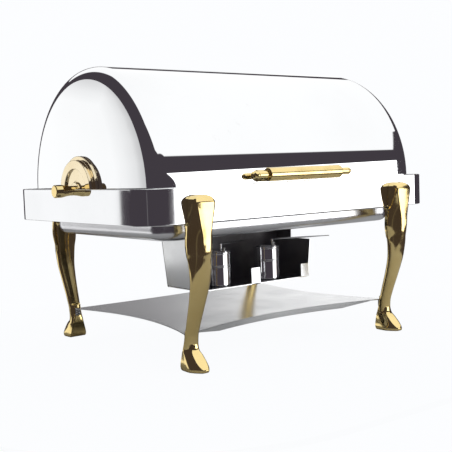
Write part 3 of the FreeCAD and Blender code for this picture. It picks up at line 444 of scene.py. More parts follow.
def food_pan():
    sheet = 0.9
    outside = [(265, 162.5, 20, 254.3), (265.2, 162.7, 20, 253.9), (265, 162.5, 20, 253.3)]
    outside += [(254.5, 152, 24, 253.3), (252.8, 150.3, 23.6, 252.6), (252, 149.5, 23, 251)]
    outside += bottom_bend(252, 149.5, 23, 228, 214.3, 14)
    inside = [(x - sheet, y - sheet, max(c - sheet, 2), z) for x, y, c, z in reversed(outside[4:])]
    inside += [(254, 151.5, 24, 254), (256, 153.5, 24, 254.3)]
    shape = pan_shape(outside, inside, 214.3, sheet)
    piece("food_pan_shell", shape, "food_pan", satin_steel, "satin_steel", "food_pan", sharp=60)


def pan_surround():
    rows = [(266, 181, 44, 252), (266, 181, 44, 253.2), (257, 154.5, 27, 253.2)]
    rows += [(255.2, 152.7, 26, 252.9), (255, 152.5, 26, 252)]
    rings = [rounded_rectangle(x, y, c, z) for x, y, c, z in rows]
    shape = tube(rings, closed=True)
    piece("pan_surround_frame", shape, "base", mirror_steel, "mirror_steel", "pan_surround")


def supports():
    shape = box_between(*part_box("front_rail"))
    piece("front_rail_bar", shape, "base", satin_steel, "satin_steel", "front_rail", bevel=0.6)


def box_between(low, high):
    (x0, y0, z0), (x1, y1, z1) = [[c / MM for c in corner] for corner in (low, high)]
    return prism([(x0, y0), (x1, y0), (x1, y1), (x0, y1)], z0, z1)


def side_knobs():
    profile = rounded(
        [(0, 295.3), (7.5, 295.3), (7.5, 303), (8.2, 309), (10, 318), (10.0, 328.8), (8.6, 330), (0, 330)],
        [0, 0.4, 6, 8, 8, 1.0, 0.8, 0],
        steps=5,
    )
    for side, sign in SIDES:
        turned = moved(lathe(profile, 56, closed=False), pointing((sign, 0, 0), (0, 0, AXIS_Z)))
        piece(f"side_knob_{side}_turned", turned, "base", gold, "gold", f"side_knob_{side}", sharp=50)


# ---- legs
LEG_BELLY = 1.2
LEG_ROWS = [
    # height, inner depth, outer depth, half width, facet half width, how faceted, channel depth
    (257, 206, 213, 5, 3, 1, 0),
    (256.3, 206, 216.8, 10, 7, 1, 0),
    (254.6, 206, 220, 14.2, 11, 1, 0),
    (252, 206, 222.6, 17, 14, 1, 0),
    (249, 206, 224.4, 18.5, 15.6, 1, 0),
    (246.8, 206, 225.2, 19.1, 16.2, 1, 0),
    (245.6, 206, 225.4, 19.3, 16.2, 1, 0),
    (240, 206, 225.4, 19.6, 15.6, 1, 0),
    (230, 206, 225.2, 19.8, 13.8, 1, 0),
    (217, 206, 224.9, 20.2, 11.2, 1, 0),
    (215.9, 197, 224.88, 20.27, 11, 1, 0),
    (214.5, 196.5, 224.85, 20.4, 10.7, 1, 2),
    (208, 198.5, 224.8, 21, 9.3, 1, 5),
    (203.4, 199.3, 224.8, 21.5, 8.3, 1, 6),
    (198.8, 199.6, 224.8, 21.9, 7.6, 1, 6.5),
    (194, 199.6, 224.8, 22.2, 7.3, 1, 7),
    (186, 199.4, 224.5, 22.4, 7, 1, 7.5),
    (176, 199, 223.5, 21.8, 6.2, 0.95, 8),
    (166, 198.6, 221.6, 20.6, 5.2, 0.8, 8.2),
    (156, 198.2, 219.6, 19.4, 4.6, 0.5, 8.2),
    (144, 196.8, 216.8, 17.8, 4.2, 0.25, 8),
    (130, 194.6, 213.6, 16.1, 4, 0.08, 7.4),
    (115, 190.6, 209, 14.6, 4, 0, 6.8),
    (100, 186, 203.9, 13.2, 4, 0, 6.2),
    (87, 181.5, 199.2, 12.2, 4, 0, 5.8),
    (75, 177.5, 194.6, 11.4, 4, 0, 5.2),
    (63, 173.8, 190.3, 10.8, 4.2, 0, 4.6),
    (58.5, 172.4, 188.8, 10.6, 4.4, 0, 4.2),
    (57.5, 170.2, 188.5, 10.6, 4.4, 0, 0),
    (50, 169.6, 186.6, 10.5, 4.8, 0.05, 0),
    (40, 168.9, 186, 10.8, 5.4, 0.3, 0),
    (33, 168.5, 186.9, 11.5, 6, 0.6, 0),
    (28.5, 168.3, 188.6, 12.1, 6.6, 0.85, 0),
    (26.5, 168.2, 190.2, 12.4, 7.4, 1, 0),
    (22, 168.1, 194.3, 13.2, 8.4, 1, 0),
    (16, 168, 200, 14.5, 8.6, 1, 0),
    (10.5, 168.2, 205.6, 15.8, 7.6, 1, 0),
    (7, 168.6, 209.2, 16.5, 6.2, 1, 0),
    (5, 169, 210.6, 16.8, 5.4, 1, 0),
    (3.2, 169.6, 211, 16.8, 5.2, 1, 0),
    (1.2, 170.4, 210.6, 16.5, 5.2, 1, 0),
    (0, 171.6, 209.2, 15.8, 5, 1, 0),
]


def smooth_rows(rows, step=1.2):
    """More rows between the given ones, along a curve that doesn't overshoot."""
    made = []
    count = len(rows)

    def slope(i, k):
        if i == 0 or i == count - 1:
            return 0.0
        before = (rows[i][k] - rows[i - 1][k]) / (rows[i][0] - rows[i - 1][0])
        after = (rows[i + 1][k] - rows[i][k]) / (rows[i + 1][0] - rows[i][0])
        if before * after <= 0:
            return 0.0
        return 2 * before * after / (before + after)

    for i in range(count - 1):
        gap = rows[i + 1][0] - rows[i][0]
        pieces = max(1, round(abs(gap) / step))
        for p in range(pieces):
            t = p / pieces
            row = [rows[i][0] + gap * t]
            for k in range(1, len(rows[0])):
                m0, m1 = slope(i, k) * gap, slope(i + 1, k) * gap
                row.append(
                    (2 * t**3 - 3 * t**2 + 1) * rows[i][k]
                    + (t**3 - 2 * t**2 + t) * m0
                    + (3 * t**2 - 2 * t**3) * rows[i + 1][k]
                    + (t**3 - t**2) * m1
                )
            made.append(row)
    made.append(list(rows[-1]))
    return made


def leg_section(back, front, half, facet, sharpness, channel):
    """Ring of (across, outward) points: a flat facet in front, two flat flanks, and a hollow back."""
    depth = front - back
    middle = (front + back) / 2
    ring = []
    facet_steps, flank_steps, hip_steps, back_steps = 10, 16, 12, 12
    squareness = 0.84
    crown = 0.25
    ridge = front - crown
    hip = max(front - 18, back + 0.6)
    for i in range(facet_steps + 1):
        t = -1 + 2 * i / facet_steps
        ring.append(((facet * t, front - crown * t * t), math.radians(90 - 32 * t)))
    for i in range(1, flank_steps):
        if i <= hip_steps:
            u = i / hip_steps
            belly = LEG_BELLY * math.sin(math.pi * u)
            across = facet + (half - facet) * u + belly * 0.7
            outward = ridge + (hip - ridge) * u + belly * 0.7
        else:
            u = (i - hip_steps) / (flank_steps - hip_steps)
            across = half - 1.2 * u * u
            outward = hip + (back + 0.8 - hip) * u
        ring.append(((across, outward), math.radians(58 - 108 * i / flank_steps)))
    for i in range(back_steps + 1):
        t = 1 - 2 * i / back_steps
        ring.append((((half - 1.2) * t, back), math.radians(-50 - 80 * (1 - t) / 2)))
    right_flank = ring[facet_steps + 1 : facet_steps + flank_steps]
    for (across, outward), angle in reversed(right_flank):
        ring.append(((-across, outward), math.pi - angle))
    points = []
    for (across, outward), angle in ring:
        round_x = half * math.copysign(abs(math.cos(angle)) ** squareness, math.cos(angle))
        round_y = middle + depth / 2 * math.copysign(abs(math.sin(angle)) ** squareness, math.sin(angle))
        x = across * sharpness + round_x * (1 - sharpness)
        y = outward * sharpness + round_y * (1 - sharpness)
        hollow = max(0.0, 1 - (x / (half - 2.6)) ** 2) ** 0.6 if abs(x) < half - 2.6 else 0.0
        if channel > 0 and y < back + depth * 0.34:
            y += channel * hollow
        points.append((x, y))
    return points


def legs():
    rows = smooth_rows(LEG_ROWS)
    rings = []
    for z, back, front, half, facet, sharpness, channel in rows:
        section = leg_section(back, front, half, facet, sharpness, channel)
        rings.append([(x, -y, z) for x, y in section])
    shape = tube(rings)
    for side, sign in SIDES:
        for end, front in (("front", 1), ("rear", -1)):
            turn = Matrix.Rotation(0 if front > 0 else math.pi, 4, "Z")
            name = f"leg_{end}_{side}"
            placed = moved(shape, Matrix.Translation((LEG_X * sign, 0, 0)) @ turn)
            piece(f"{name}_cast", placed, "base", gold, "gold", name, sharp=75)


# ---- shelf
TAB_THICK = 1.6


def shelf():
    steps = 48
    """Plate with bowed edges and four points, a lip along the front and rear, and a tab at each leg."""
    tip_x, waist_x, front_y, rear_y = 215.0, 185.0, 131.0, 160.0
    inner_x = 205.0
    low_z, top_z, lip_z, lip_deep, lip_thick = 50.0, 51.6, 50.4, 8.4, 1.3
    top, under = [], []
    for r in range(steps + 1):
        t = r / steps
        half = waist_x + (tip_x - waist_x) * (2 * t - 1) ** 2
        row_top, row_under = [], []
        for c in range(steps + 1):
            s = -1 + 2 * c / steps
            x = half * s
            k = min(abs(x) / inner_x, 1.0)
            low = -(front_y + (TIP_Y - front_y) * k * k)
            high = rear_y + (TIP_Y - rear_y) * k * k
            y = low + (high - low) * t
            row_top.append((x, y, top_z))
            row_under.append((x, y, low_z))
        top.append(row_top)
        under.append(row_under)
    parts = [thin(top, under)]
    for sign_y, rail in ((-1, 0), (1, steps)):
        lip_out, lip_in = [], []
        for level in range(5):
            drop = lip_deep * level / 4
            row_out, row_in = [], []
            for c in range(3, steps - 2):
                x, y, _ = top[rail][c]
                fade = min(1.0, (c - 2) / 7, (steps - 2 - c) / 7)
                z = lip_z - drop * fade
                row_out.append((x, y, z))
                row_in.append((x, y - lip_thick * sign_y, z))
            lip_out.append(row_out)
            lip_in.append(row_in)
        parts.append(thin(lip_out, lip_in))
    for sign_x in (-1, 1):
        for sign_y in (-1, 1):
            y0 = TIP_Y * sign_y
            y1 = y0 - TAB_THICK * sign_y
            xs = sorted((inner_x * sign_x, tip_x * sign_x))
            outline = rounded([(xs[0], 50.5), (xs[1], 50.5), (xs[1], 38), (xs[0], 38)], [0, 0, 3, 3])
            parts.append(tube([[(x, y, z) for x, z in outline] for y in (y0, y1)]))
    piece("shelf_plate", joined(*parts), "base", shelf_steel, "satin_steel", "shelf", sharp=30)


def screws():
    heads = []
    for sign_x in (-1, 1):
        for sign_y in (-1, 1):
            at = (LEG_X * sign_x, (TIP_Y - TAB_THICK) * sign_y, 43)
            heads.append(moved(screw_head(4.0, 2.2), pointing((0, -sign_y, 0), at)))
    piece("shelf_screw_heads", joined(*heads), "base", screw_steel, "steel_fixing", "shelf_screws", sharp=35)


def screw_head(radius, tall):
    """Domed head with a cross recess, standing on its own base."""
    side = tall * 0.35
    profile = [(radius, 0), (radius, side)]
    for angle in map(math.radians, (20, 40, 60, 76)):
        profile.append((radius * math.cos(angle), side + (tall - side) * math.sin(angle)))
    profile.append((radius * 0.12, tall))
    dome = lathe(profile, 28, closed=False)
    reach, half = radius * 0.62, 0.35
    outline = [(-reach, -half), (reach, -half), (reach, half), (-reach, half)]
    slot_tool = [prism(outline, tall * 0.6, tall + 1)]
    slot_tool.append(moved(slot_tool[0], Matrix.Rotation(math.pi / 2, 4, "Z")))
    scratch = bpy.data.objects.new("scratch", mesh_of("scratch", dome))
    bpy.context.scene.collection.objects.link(scratch)
    carve(scratch, *slot_tool)
    mesh = scratch.data
    result = ([tuple(v.co / MM) for v in mesh.vertices], [tuple(p.vertices) for p in mesh.polygons])
    bpy.data.objects.remove(scratch)
    return result


# ---- lid
# the lid is a half cylinder whose ends are shallow domes, joined to it by round shoulders
SKIN_R = 190.5
LID_X = 273.0
END_RADIUS = 170.5
DOME_RISE = 10.0
DOME_RADIUS = (END_RADIUS**2 + DOME_RISE**2) / (2 * DOME_RISE)
DOME_TILT = math.asin(END_RADIUS / DOME_RADIUS)
LID_BEND = (SKIN_R - END_RADIUS) / (1 - math.sin(DOME_TILT))
LID_BEND_X = LID_X - LID_BEND * math.cos(DOME_TILT)


def dome_x(radius, inset=0.0):
    """How far out the domed end stands at a distance from the pivot axis."""
    return LID_X + DOME_RISE - DOME_RADIUS + math.sqrt((DOME_RADIUS - inset) ** 2 - radius**2)


def lid_profile(inset):
    """(x, distance from the axis) points over the skin and both shoulders, which run on from the domes."""
    centre_r = SKIN_R - LID_BEND
    arc = LID_BEND - inset
    steps = 16
    shoulder = []
    for i in range(steps + 1):
        angle = DOME_TILT + (math.pi / 2 - DOME_TILT) * i / steps
        shoulder.append((LID_BEND_X + arc * math.cos(angle), centre_r + arc * math.sin(angle)))
    flat = [(LID_BEND_X * (-1 + 2 * i / 10), SKIN_R - inset) for i in range(1, 10)]
    return [(-x, r) for x, r in shoulder] + flat + shoulder[::-1]


def lid_cover():
    rows = []
    for inset in (0.0, SHEET):
        profile = lid_profile(inset)
        grid = []
        for step in range(185):
            angle = math.radians(-2 + step)
            grid.append([(x, -r * math.cos(angle), AXIS_Z + r * math.sin(angle)) for x, r in profile])
        rows.append(grid)
    piece("lid_cover_shell", thin(*rows), "lid", lid_steel, "mirror_steel", "lid_cover", sharp=50)


def lid_ends():
    radii = [7.0, 14, 30, 50, 70, 90, 110, 130, 150, 162, END_RADIUS]
    for side, sign in SIDES:
        outer, inner = [], []
        for radius in radii:
            first = -math.asin(min(6.0 / radius, 1))
            rows = ([], [])
            for step in range(121):
                angle = first + (math.pi - 2 * first) * step / 120
                y, z = -radius * math.cos(angle), AXIS_Z + radius * math.sin(angle)
                rows[0].append((dome_x(radius) * sign, y, z))
                rows[1].append((dome_x(radius, SHEET) * sign, y, z))
            outer.append(rows[0])
            inner.append(rows[1])
        shape = thin(outer, inner)
        piece(f"lid_end_{side}_panel", shape, "lid", lid_steel, "mirror_steel", f"lid_end_{side}", sharp=50)


def hinge_discs():
    """Stepped discs, cut off level below the pivot."""
    outline = [(6.6, 283.1), (30, 282.8), (52.5, 282.2), (53, 282.6), (53, 287), (47, 287)]
    outline += [(47, 294.2), (33.6, 294.2), (33.2, 290.9), (14.6, 291.2)]
    outline += [(14.2, 290.3), (12.9, 290.3), (12.6, 294.8), (6.6, 294.8)]
    radii = [0, 0, 0.2, 0.2, 0.9, 0.5, 0.9, 0.9, 0.7, 0.3, 0.3, 0.3, 0.8, 0.3]
    for side, sign in SIDES:
        shape = moved(lathe(rounded(outline, radii, steps=5), 160), pointing((sign, 0, 0), (0, 0, AXIS_Z)))
        node = f"hinge_disc_{side}"
        made = piece(f"{node}_turned", shape, "lid", gold_disc, "gold", node, sharp=50)
        slice_off(made, AXIS_Z - 12)
        dress(made, sharp=50)


def lid_handle():
    y, z = -203.5, 280.0
    grip_profile = rounded([(6.1, -76), (10.5, -76), (10.5, 76), (6.1, 76)], [0.3, 1.4, 1.4, 0.3], steps=5)
    grip = moved(lathe(grip_profile, 72), pointing((1, 0, 0), (0, y, z)))
    piece("handle_grip_sleeve", grip, "lid", gold_satin, "gold_satin", "handle_grip", sharp=50)
    ball = 6
    rod_profile = [(0, -97 - ball)]
    for angle in map(math.radians, range(15, 91, 15)):
        rod_profile.append((ball * math.sin(angle), -97 - ball * math.cos(angle)))
    rod_profile += [(5.6, -95.6), (5.6, -94.6), (6.0, -94.0)]
    rod_profile += [(r, -along) for r, along in reversed(rod_profile)]
    rod = moved(lathe(rod_profile, 48, closed=False), pointing((1, 0, 0), (0, y, z)))
    piece("handle_rod_turned", rod, "lid", gold, "gold", "handle_rod", sharp=50)
    posts = []
    tilt = math.atan2(z - AXIS_Z, -y)
    out = (0, -math.cos(tilt), math.sin(tilt))
    corners = [(0, 190.2), (7.2, 190.2), (7.0, 192.4), (5.0, 194.2), (4.8, 199.0), (5.6, 204.0), (0, 204.0)]
    profile = rounded(corners, [0, 0.2, 0.8, 1.4, 2.0, 1.0, 0])
    for _, sign in SIDES:
        posts.append(moved(lathe(profile, 40, closed=False), pointing(out, (89 * sign, 0, AXIS_Z))))
    piece("handle_posts_turned", joined(*posts), "lid", gold, "gold", "handle_posts", sharp=50)


# ---- burner tray
TRAY_LOW, TRAY_TOP, EAR_LOW = 93.5, 189.0, 160.0
TRAY_FRONT, TRAY_BACK = -80.0, 8.0


def tray():
    """Bent sheet: a floor, a tall left wall, a low right wall, a front tab and two small corner plates."""
    half, flare, thick, low, top = 121.0, 8.0, 1.5, TRAY_LOW, EAR_LOW
    bend = arc_between((-half - 0.4, low + 3.5), (-half, low), (-half + 3.5, low))
    line = [(-half - 10, TRAY_TOP), (-half - 5, (TRAY_TOP + low) / 2)] + bend
    line += [(x, low) for x in (-80, -40, 0, 40, 80)]
    line += [(-x, z) for x, z in reversed(bend)]
    line += [(half + flare * 0.5, (top + low) / 2), (half + flare, top)]
    inner = offset_line(line, thick)
    rows_y = (TRAY_FRONT, -60.0, -20.0, TRAY_BACK)
    parts = [thin(*[[[(x, y, z) for x, z in across] for y in rows_y] for across in (line, inner)])]
    tab = rounded([(-9.5, low), (9.5, low), (9.5, low + 28), (-9.5, low + 28)], [0, 0, 1.5, 1.5])
    parts.append(tube([[(x, y, z) for x, z in tab] for y in (TRAY_FRONT, TRAY_FRONT + thick)]))
    for sign in (-1, 1):
        foot = half + 1.5
        corner = [(foot, low + 1), (foot - 17, low + 1), (foot - 17, low + 24), (foot + 1.4, low + 24)]
        plates = []
        for y in (TRAY_FRONT + 0.1, TRAY_FRONT + 1.3):
            plates.append([(x * sign, y + (foot - x) * 0.06, z) for x, z in corner])
        parts.append(tube(plates))
    piece("burner_tray_sheet", joined(*parts), "base", shelf_steel, "mirror_steel", "burner_tray", sharp=30)


def tray_back():
    """Rear sheet of the tray with its welded flange and its ear at the right."""
    wide, wide_left, thick = 129.0, 131.0, 1.5
    front, rear = TRAY_BACK, TRAY_BACK + thick
    wall = [(-121, TRAY_LOW), (121, TRAY_LOW), (wide, EAR_LOW), (wide, TRAY_TOP), (-wide_left, TRAY_TOP)]
    parts = [tube([[(x, y, z) for x, z in rounded(wall, [3, 3, 0, 0, 0])] for y in (front, rear)])]
    flange = [(-wide_left, rear), (wide, rear), (wide, 22), (-wide_left, 22)]
    parts.append(prism(flange, TRAY_TOP - thick, TRAY_TOP))
    ear = rounded([(-30, EAR_LOW), (front, EAR_LOW), (front, TRAY_TOP), (-30, TRAY_TOP)], [4, 0, 0, 0])
    parts.append(tube([[(x, y, z) for y, z in ear] for x in (wide - thick, wide)]))
    # painted shade: the rear sheet is near black and matt, standing in for the shade that falls inside the
    # tray
    piece("tray_back_sheet", joined(*parts), "base", painted_shade_steel, "mirror_steel", "tray_back", sharp=30)


def arc_between(start, corner, end, steps=5):
    """Round bend from start to end that heads for the corner between them."""
    made = []
    for i in range(steps + 1):
        t = i / steps
        weights = ((1 - t) ** 2, 2 * t * (1 - t), t * t)
        made.append(tuple(sum(w * c for w, c in zip(weights, along)) for along in zip(start, corner, end)))
    return made


def offset_line(line, distance):
    """Points of an open line moved sideways, to the left of its direction."""
    made = []
    for i, here in enumerate(line):
        before, after = line[max(i - 1, 0)], line[min(i + 1, len(line) - 1)]
        along = Vector((after[0] - before[0], after[1] - before[1])).normalized()
        made.append((here[0] - along.y * distance, here[1] + along.x * distance))
    return made


# ---- burners and snuffers
BURNER = {"left": (-55.0, -45.0), "right": (55.0, -45.0)}
CUP_LOW = 95.3
CUP_HIGH = 151.3
PIN_BACK = 19.5
# which way each snuffer handle points, in degrees around from the right, and how far it reaches
AIM = {"left": (18.0, 98.0), "right": (-20.0, 122.0)}


def burners():
    for side, _ in SIDES:
        x, y = BURNER[side]
        body = f"burner_{side}"
        at = Matrix.Translation((x, y, 0))
        pin_at = Matrix.Translation((x, y - PIN_BACK, 0))
        cup = moved(lathe(cup_outline(), 96, closed=False), at)
        node = f"burner_cup_{side}"
        piece(f"{node}_spun", cup, body, mirror_steel, "mirror_steel", node, sharp=45)
        tin = moved(lathe(tin_outline(), 64, closed=False), at)
        node = f"fuel_tin_{side}"
        piece(f"{node}_can", tin, body, tin_metal, "tin_metal", node, sharp=45)
        top = CUP_HIGH + 1.2
        corners = [(15, CUP_HIGH), (23.5, CUP_HIGH), (23.5, top), (17.6, top), (15, top)]
        cover = moved(lathe(rounded(corners, [0.2, 0.2, 0.5, 0, 0.5], 3), 96), at)
        node = f"burner_cover_{side}"
        piece(f"{node}_ring", cover, body, mirror_steel, "mirror_steel", node, sharp=45)
        corners = [(0, CUP_HIGH), (1.5, CUP_HIGH), (1.5, 158.1), (2.6, 158.1)]
        corners += [(2.6, 159.0), (1.8, 159.5), (0, 159.5)]
        pin = moved(lathe(rounded(corners, [0, 0, 0, 0.3, 0.3, 0.3, 0], 3), 24, closed=False), pin_at)
        node = f"snuffer_pin_{side}"
        piece(f"{node}_rivet", pin, body, screw_steel, "steel_fixing", node, sharp=45)
        snuffer(side, at, pin_at)


def cup_outline():
    """Cup with a rib at mid height and a rolled rim."""
    wall, rim, rib, inner, sheet = 22.7, 23.5, CUP_LOW + 31.4, 21.9, 0.9
    corners = [(0, CUP_LOW), (21.2, CUP_LOW), (wall, CUP_LOW + 1.6)]
    corners += [(wall, rib), (rim, rib + 0.9), (rim, rib + 2.4), (wall, rib + 3.4)]
    corners += [(wall, CUP_HIGH - 3.0), (rim, CUP_HIGH - 2.0), (rim, CUP_HIGH)]
    corners += [(inner, CUP_HIGH), (inner, CUP_LOW + sheet), (0, CUP_LOW + sheet)]
    return rounded(corners, [0, 0.8, 0.8, 0.4, 0.6, 0.6, 0.4, 0.4, 0.5, 0.3, 0.2, 0.5, 0], 3)


def tin_outline():
    """Open fuel tin: seams at the foot and the top, and a mouth with a ledge inside it."""
    low = CUP_LOW + 0.95
    corners = [(0, low), (19.2, low), (20, low + 1.0), (19.5, low + 2.0)]
    corners += [(19.5, low + 45), (20, low + 46), (20, low + 47.4), (19.2, low + 47.9)]
    corners += [(17.2, low + 47.9), (17.0, low + 46.6), (15.4, low + 46.6), (15.2, low + 47.8)]
    corners += [(15, low + 47.6), (15, low + 30), (0, low + 29)]
    return rounded(corners, 0.35, 3)


def snuffer(side, at, pin_at):
    """Lid that swings over the cup's mouth, with an ear on the pin and a long wire loop as its handle."""
    body = f"snuffer_{side}"
    low = CUP_HIGH + 1.5
    top = low + 1.4
    dish = low + 0.95
    corners = [(0, low), (18, low), (18, top), (16.4, top), (15.6, dish), (0, dish)]
    plate = moved(lathe(rounded(corners, [0, 0.4, 0.5, 0.4, 0.4, 0], 3), 80, closed=False), at)
    ear = moved(lathe(rounded([(1.56, low), (4.5, low), (4.5, top), (1.56, top)], 0.2, 2), 32), pin_at)
    node = f"snuffer_lid_{side}"
    piece(f"{node}_plate", joined(plate, ear), body, mirror_steel, "mirror_steel", node, sharp=45)
    degrees, reach = AIM[side]
    wire = wire_loop(leaf_line(reach), top + 9.2, 1.3, 0.8)
    corners = [(0, 154.2), (3.2, 154.2), (2.4, 155.6), (2.2, 162.4), (2.6, 164.0), (0, 164.2)]
    foot = lathe(rounded(corners, [0, 0.3, 1, 1, 0.5, 0], 3), 28, closed=False)
    foot = moved(foot, Matrix.Translation((11.0, 0, 0)))
    bridge = prism(rounded([(7.6, -3.6), (18, -2.6), (18, 2.6), (7.6, 3.6)], 1.0, 3), 162.7, 164.1)
    shape = moved(joined(wire, foot, bridge), at @ Matrix.Rotation(math.radians(degrees), 4, "Z"))
    node = f"snuffer_handle_{side}"
    piece(f"{node}_loop", shape, body, mirror_steel, "mirror_steel", node, sharp=45)


def leaf_line(reach):
    """Centre line of the loop: out along one side to the point and back along the other."""
    side = []
    for i in range(25):
        t = i / 24
        across = 5.9 * math.sin(math.pi * min(t * 1.06, 1.0) ** 0.82) + 1.4 * (1 - t)
        side.append((9.0 + (reach - 10.2) * t, max(across, 0.0)))
    return side + [(px, -py) for px, py in reversed(side[:-1])]


def wire_loop(line, z, half_wide, half_tall):
    """Flattened wire along a closed line in a level plane."""
    rings = []
    count = len(line)
    up = Vector((0, 0, 1))
    around = [2 * math.pi * k / 10 for k in range(10)]
    for i, (px, py) in enumerate(line):
        before, after = line[i - 1], line[(i + 1) % count]
        along = Vector((after[0] - before[0], after[1] - before[1], 0))
        along = along.normalized() if along.length > 1e-6 else Vector((0, -1, 0))
        side = Vector((-along.y, along.x, 0))
        here, wide, tall = Vector((px, py, z)), side * half_wide, up * half_tall
        rings.append([tuple(here + wide * math.cos(a) + tall * math.sin(a)) for a in around])
    return tube(rings, closed=True)


# ---- studio
# camera: place in metres, degrees turned to the right, tipped down and rolled, focal length in millimetres
# on a sensor 36 mm wide, and its shift in parts of the picture's width
CAMERA_AT = (-0.9219, -1.1666, 0.2979)
CAMERA_TURNS = (36.17, 4.59, -2.17)
LENS = 67.284
LENS_SHIFT = (0.07146, 0.01615)
SENSOR = 36.0
# degrees: what the band mirrors lies lower than this, and what the lid's ends mirror lies higher
BAND_HEIGHT = -1.42


def camera():
    lens = bpy.data.cameras.new("photo_camera")
    lens.sensor_width = SENSOR
    lens.lens = LENS
    lens.shift_x, lens.shift_y = LENS_SHIFT
    lens.clip_end = 50
    made = bpy.data.objects.new("photo_camera", lens)
    bpy.context.scene.collection.objects.link(made)
    turn, drop, roll = map(math.radians, CAMERA_TURNS)
    back = Vector((-math.sin(turn) * math.cos(drop), -math.cos(turn) * math.cos(drop), math.sin(drop)))
    right = Vector((math.cos(turn), -math.sin(turn), 0))
    up = back.cross(right)
    x_axis = right * math.cos(roll) + up * math.sin(roll)
    y_axis = up * math.cos(roll) - right * math.sin(roll)
    rows = Matrix((x_axis, y_axis, back)).transposed().to_4x4()
    made.matrix_world = Matrix.Translation(CAMERA_AT) @ rows
    bpy.context.scene.camera = made


def mirrored(point, normal):
    """Direction that the camera sees mirrored at a point of the object, given in millimetres."""
    sight = Vector(point) * MM - Vector(CAMERA_AT)
    return sight.normalized().reflect(Vector(normal).normalized())


def mirrored_by_lid(angle, x, tilt=90.0):
    """The same at an angle up from the lid's front edge; a tilt under 90 degrees is on the shoulder."""
    up, lean = math.radians(angle), math.radians(tilt)
    out = Vector((math.cos(lean), -math.sin(lean) * math.cos(up), math.sin(lean) * math.sin(up)))
    radius = SKIN_R - LID_BEND * (1 - math.sin(lean))
    point = (x + LID_BEND * math.cos(lean), -radius * math.cos(up), AXIS_Z + radius * math.sin(up))
    return mirrored(point, out)


def mirrored_by_dome(angle, radius):
    """The same on the left domed end, at an angle up from the front and a distance from the pivot axis."""
    up = math.radians(angle)
    y, z = -radius * math.cos(up), radius * math.sin(up)
    return mirrored((-dome_x(radius), y, AXIS_Z + z), (-math.sqrt(DOME_RADIUS**2 - radius**2), y, z))


def heading(direction):
    """Degrees around from the front (-Y) towards the left (-X)."""
    return math.degrees(math.atan2(-direction.x, -direction.y))


def height(direction):
    """Degrees above level."""
    return math.degrees(math.asin(direction.z))


def show(tree, to_metal, to_eye, output_type):
    """Ends a tree with one shader for the camera's own rays and another for all other rays."""
    path = tree.nodes.new("ShaderNodeLightPath")
    choose = tree.nodes.new("ShaderNodeMixShader")
    tree.links.new(path.outputs["Is Camera Ray"], choose.inputs[0])
    tree.links.new(to_metal.outputs[0], choose.inputs[1])
    tree.links.new(to_eye.outputs[0], choose.inputs[2])
    output = tree.nodes.new(output_type)
    tree.links.new(choose.outputs[0], output.inputs[0])


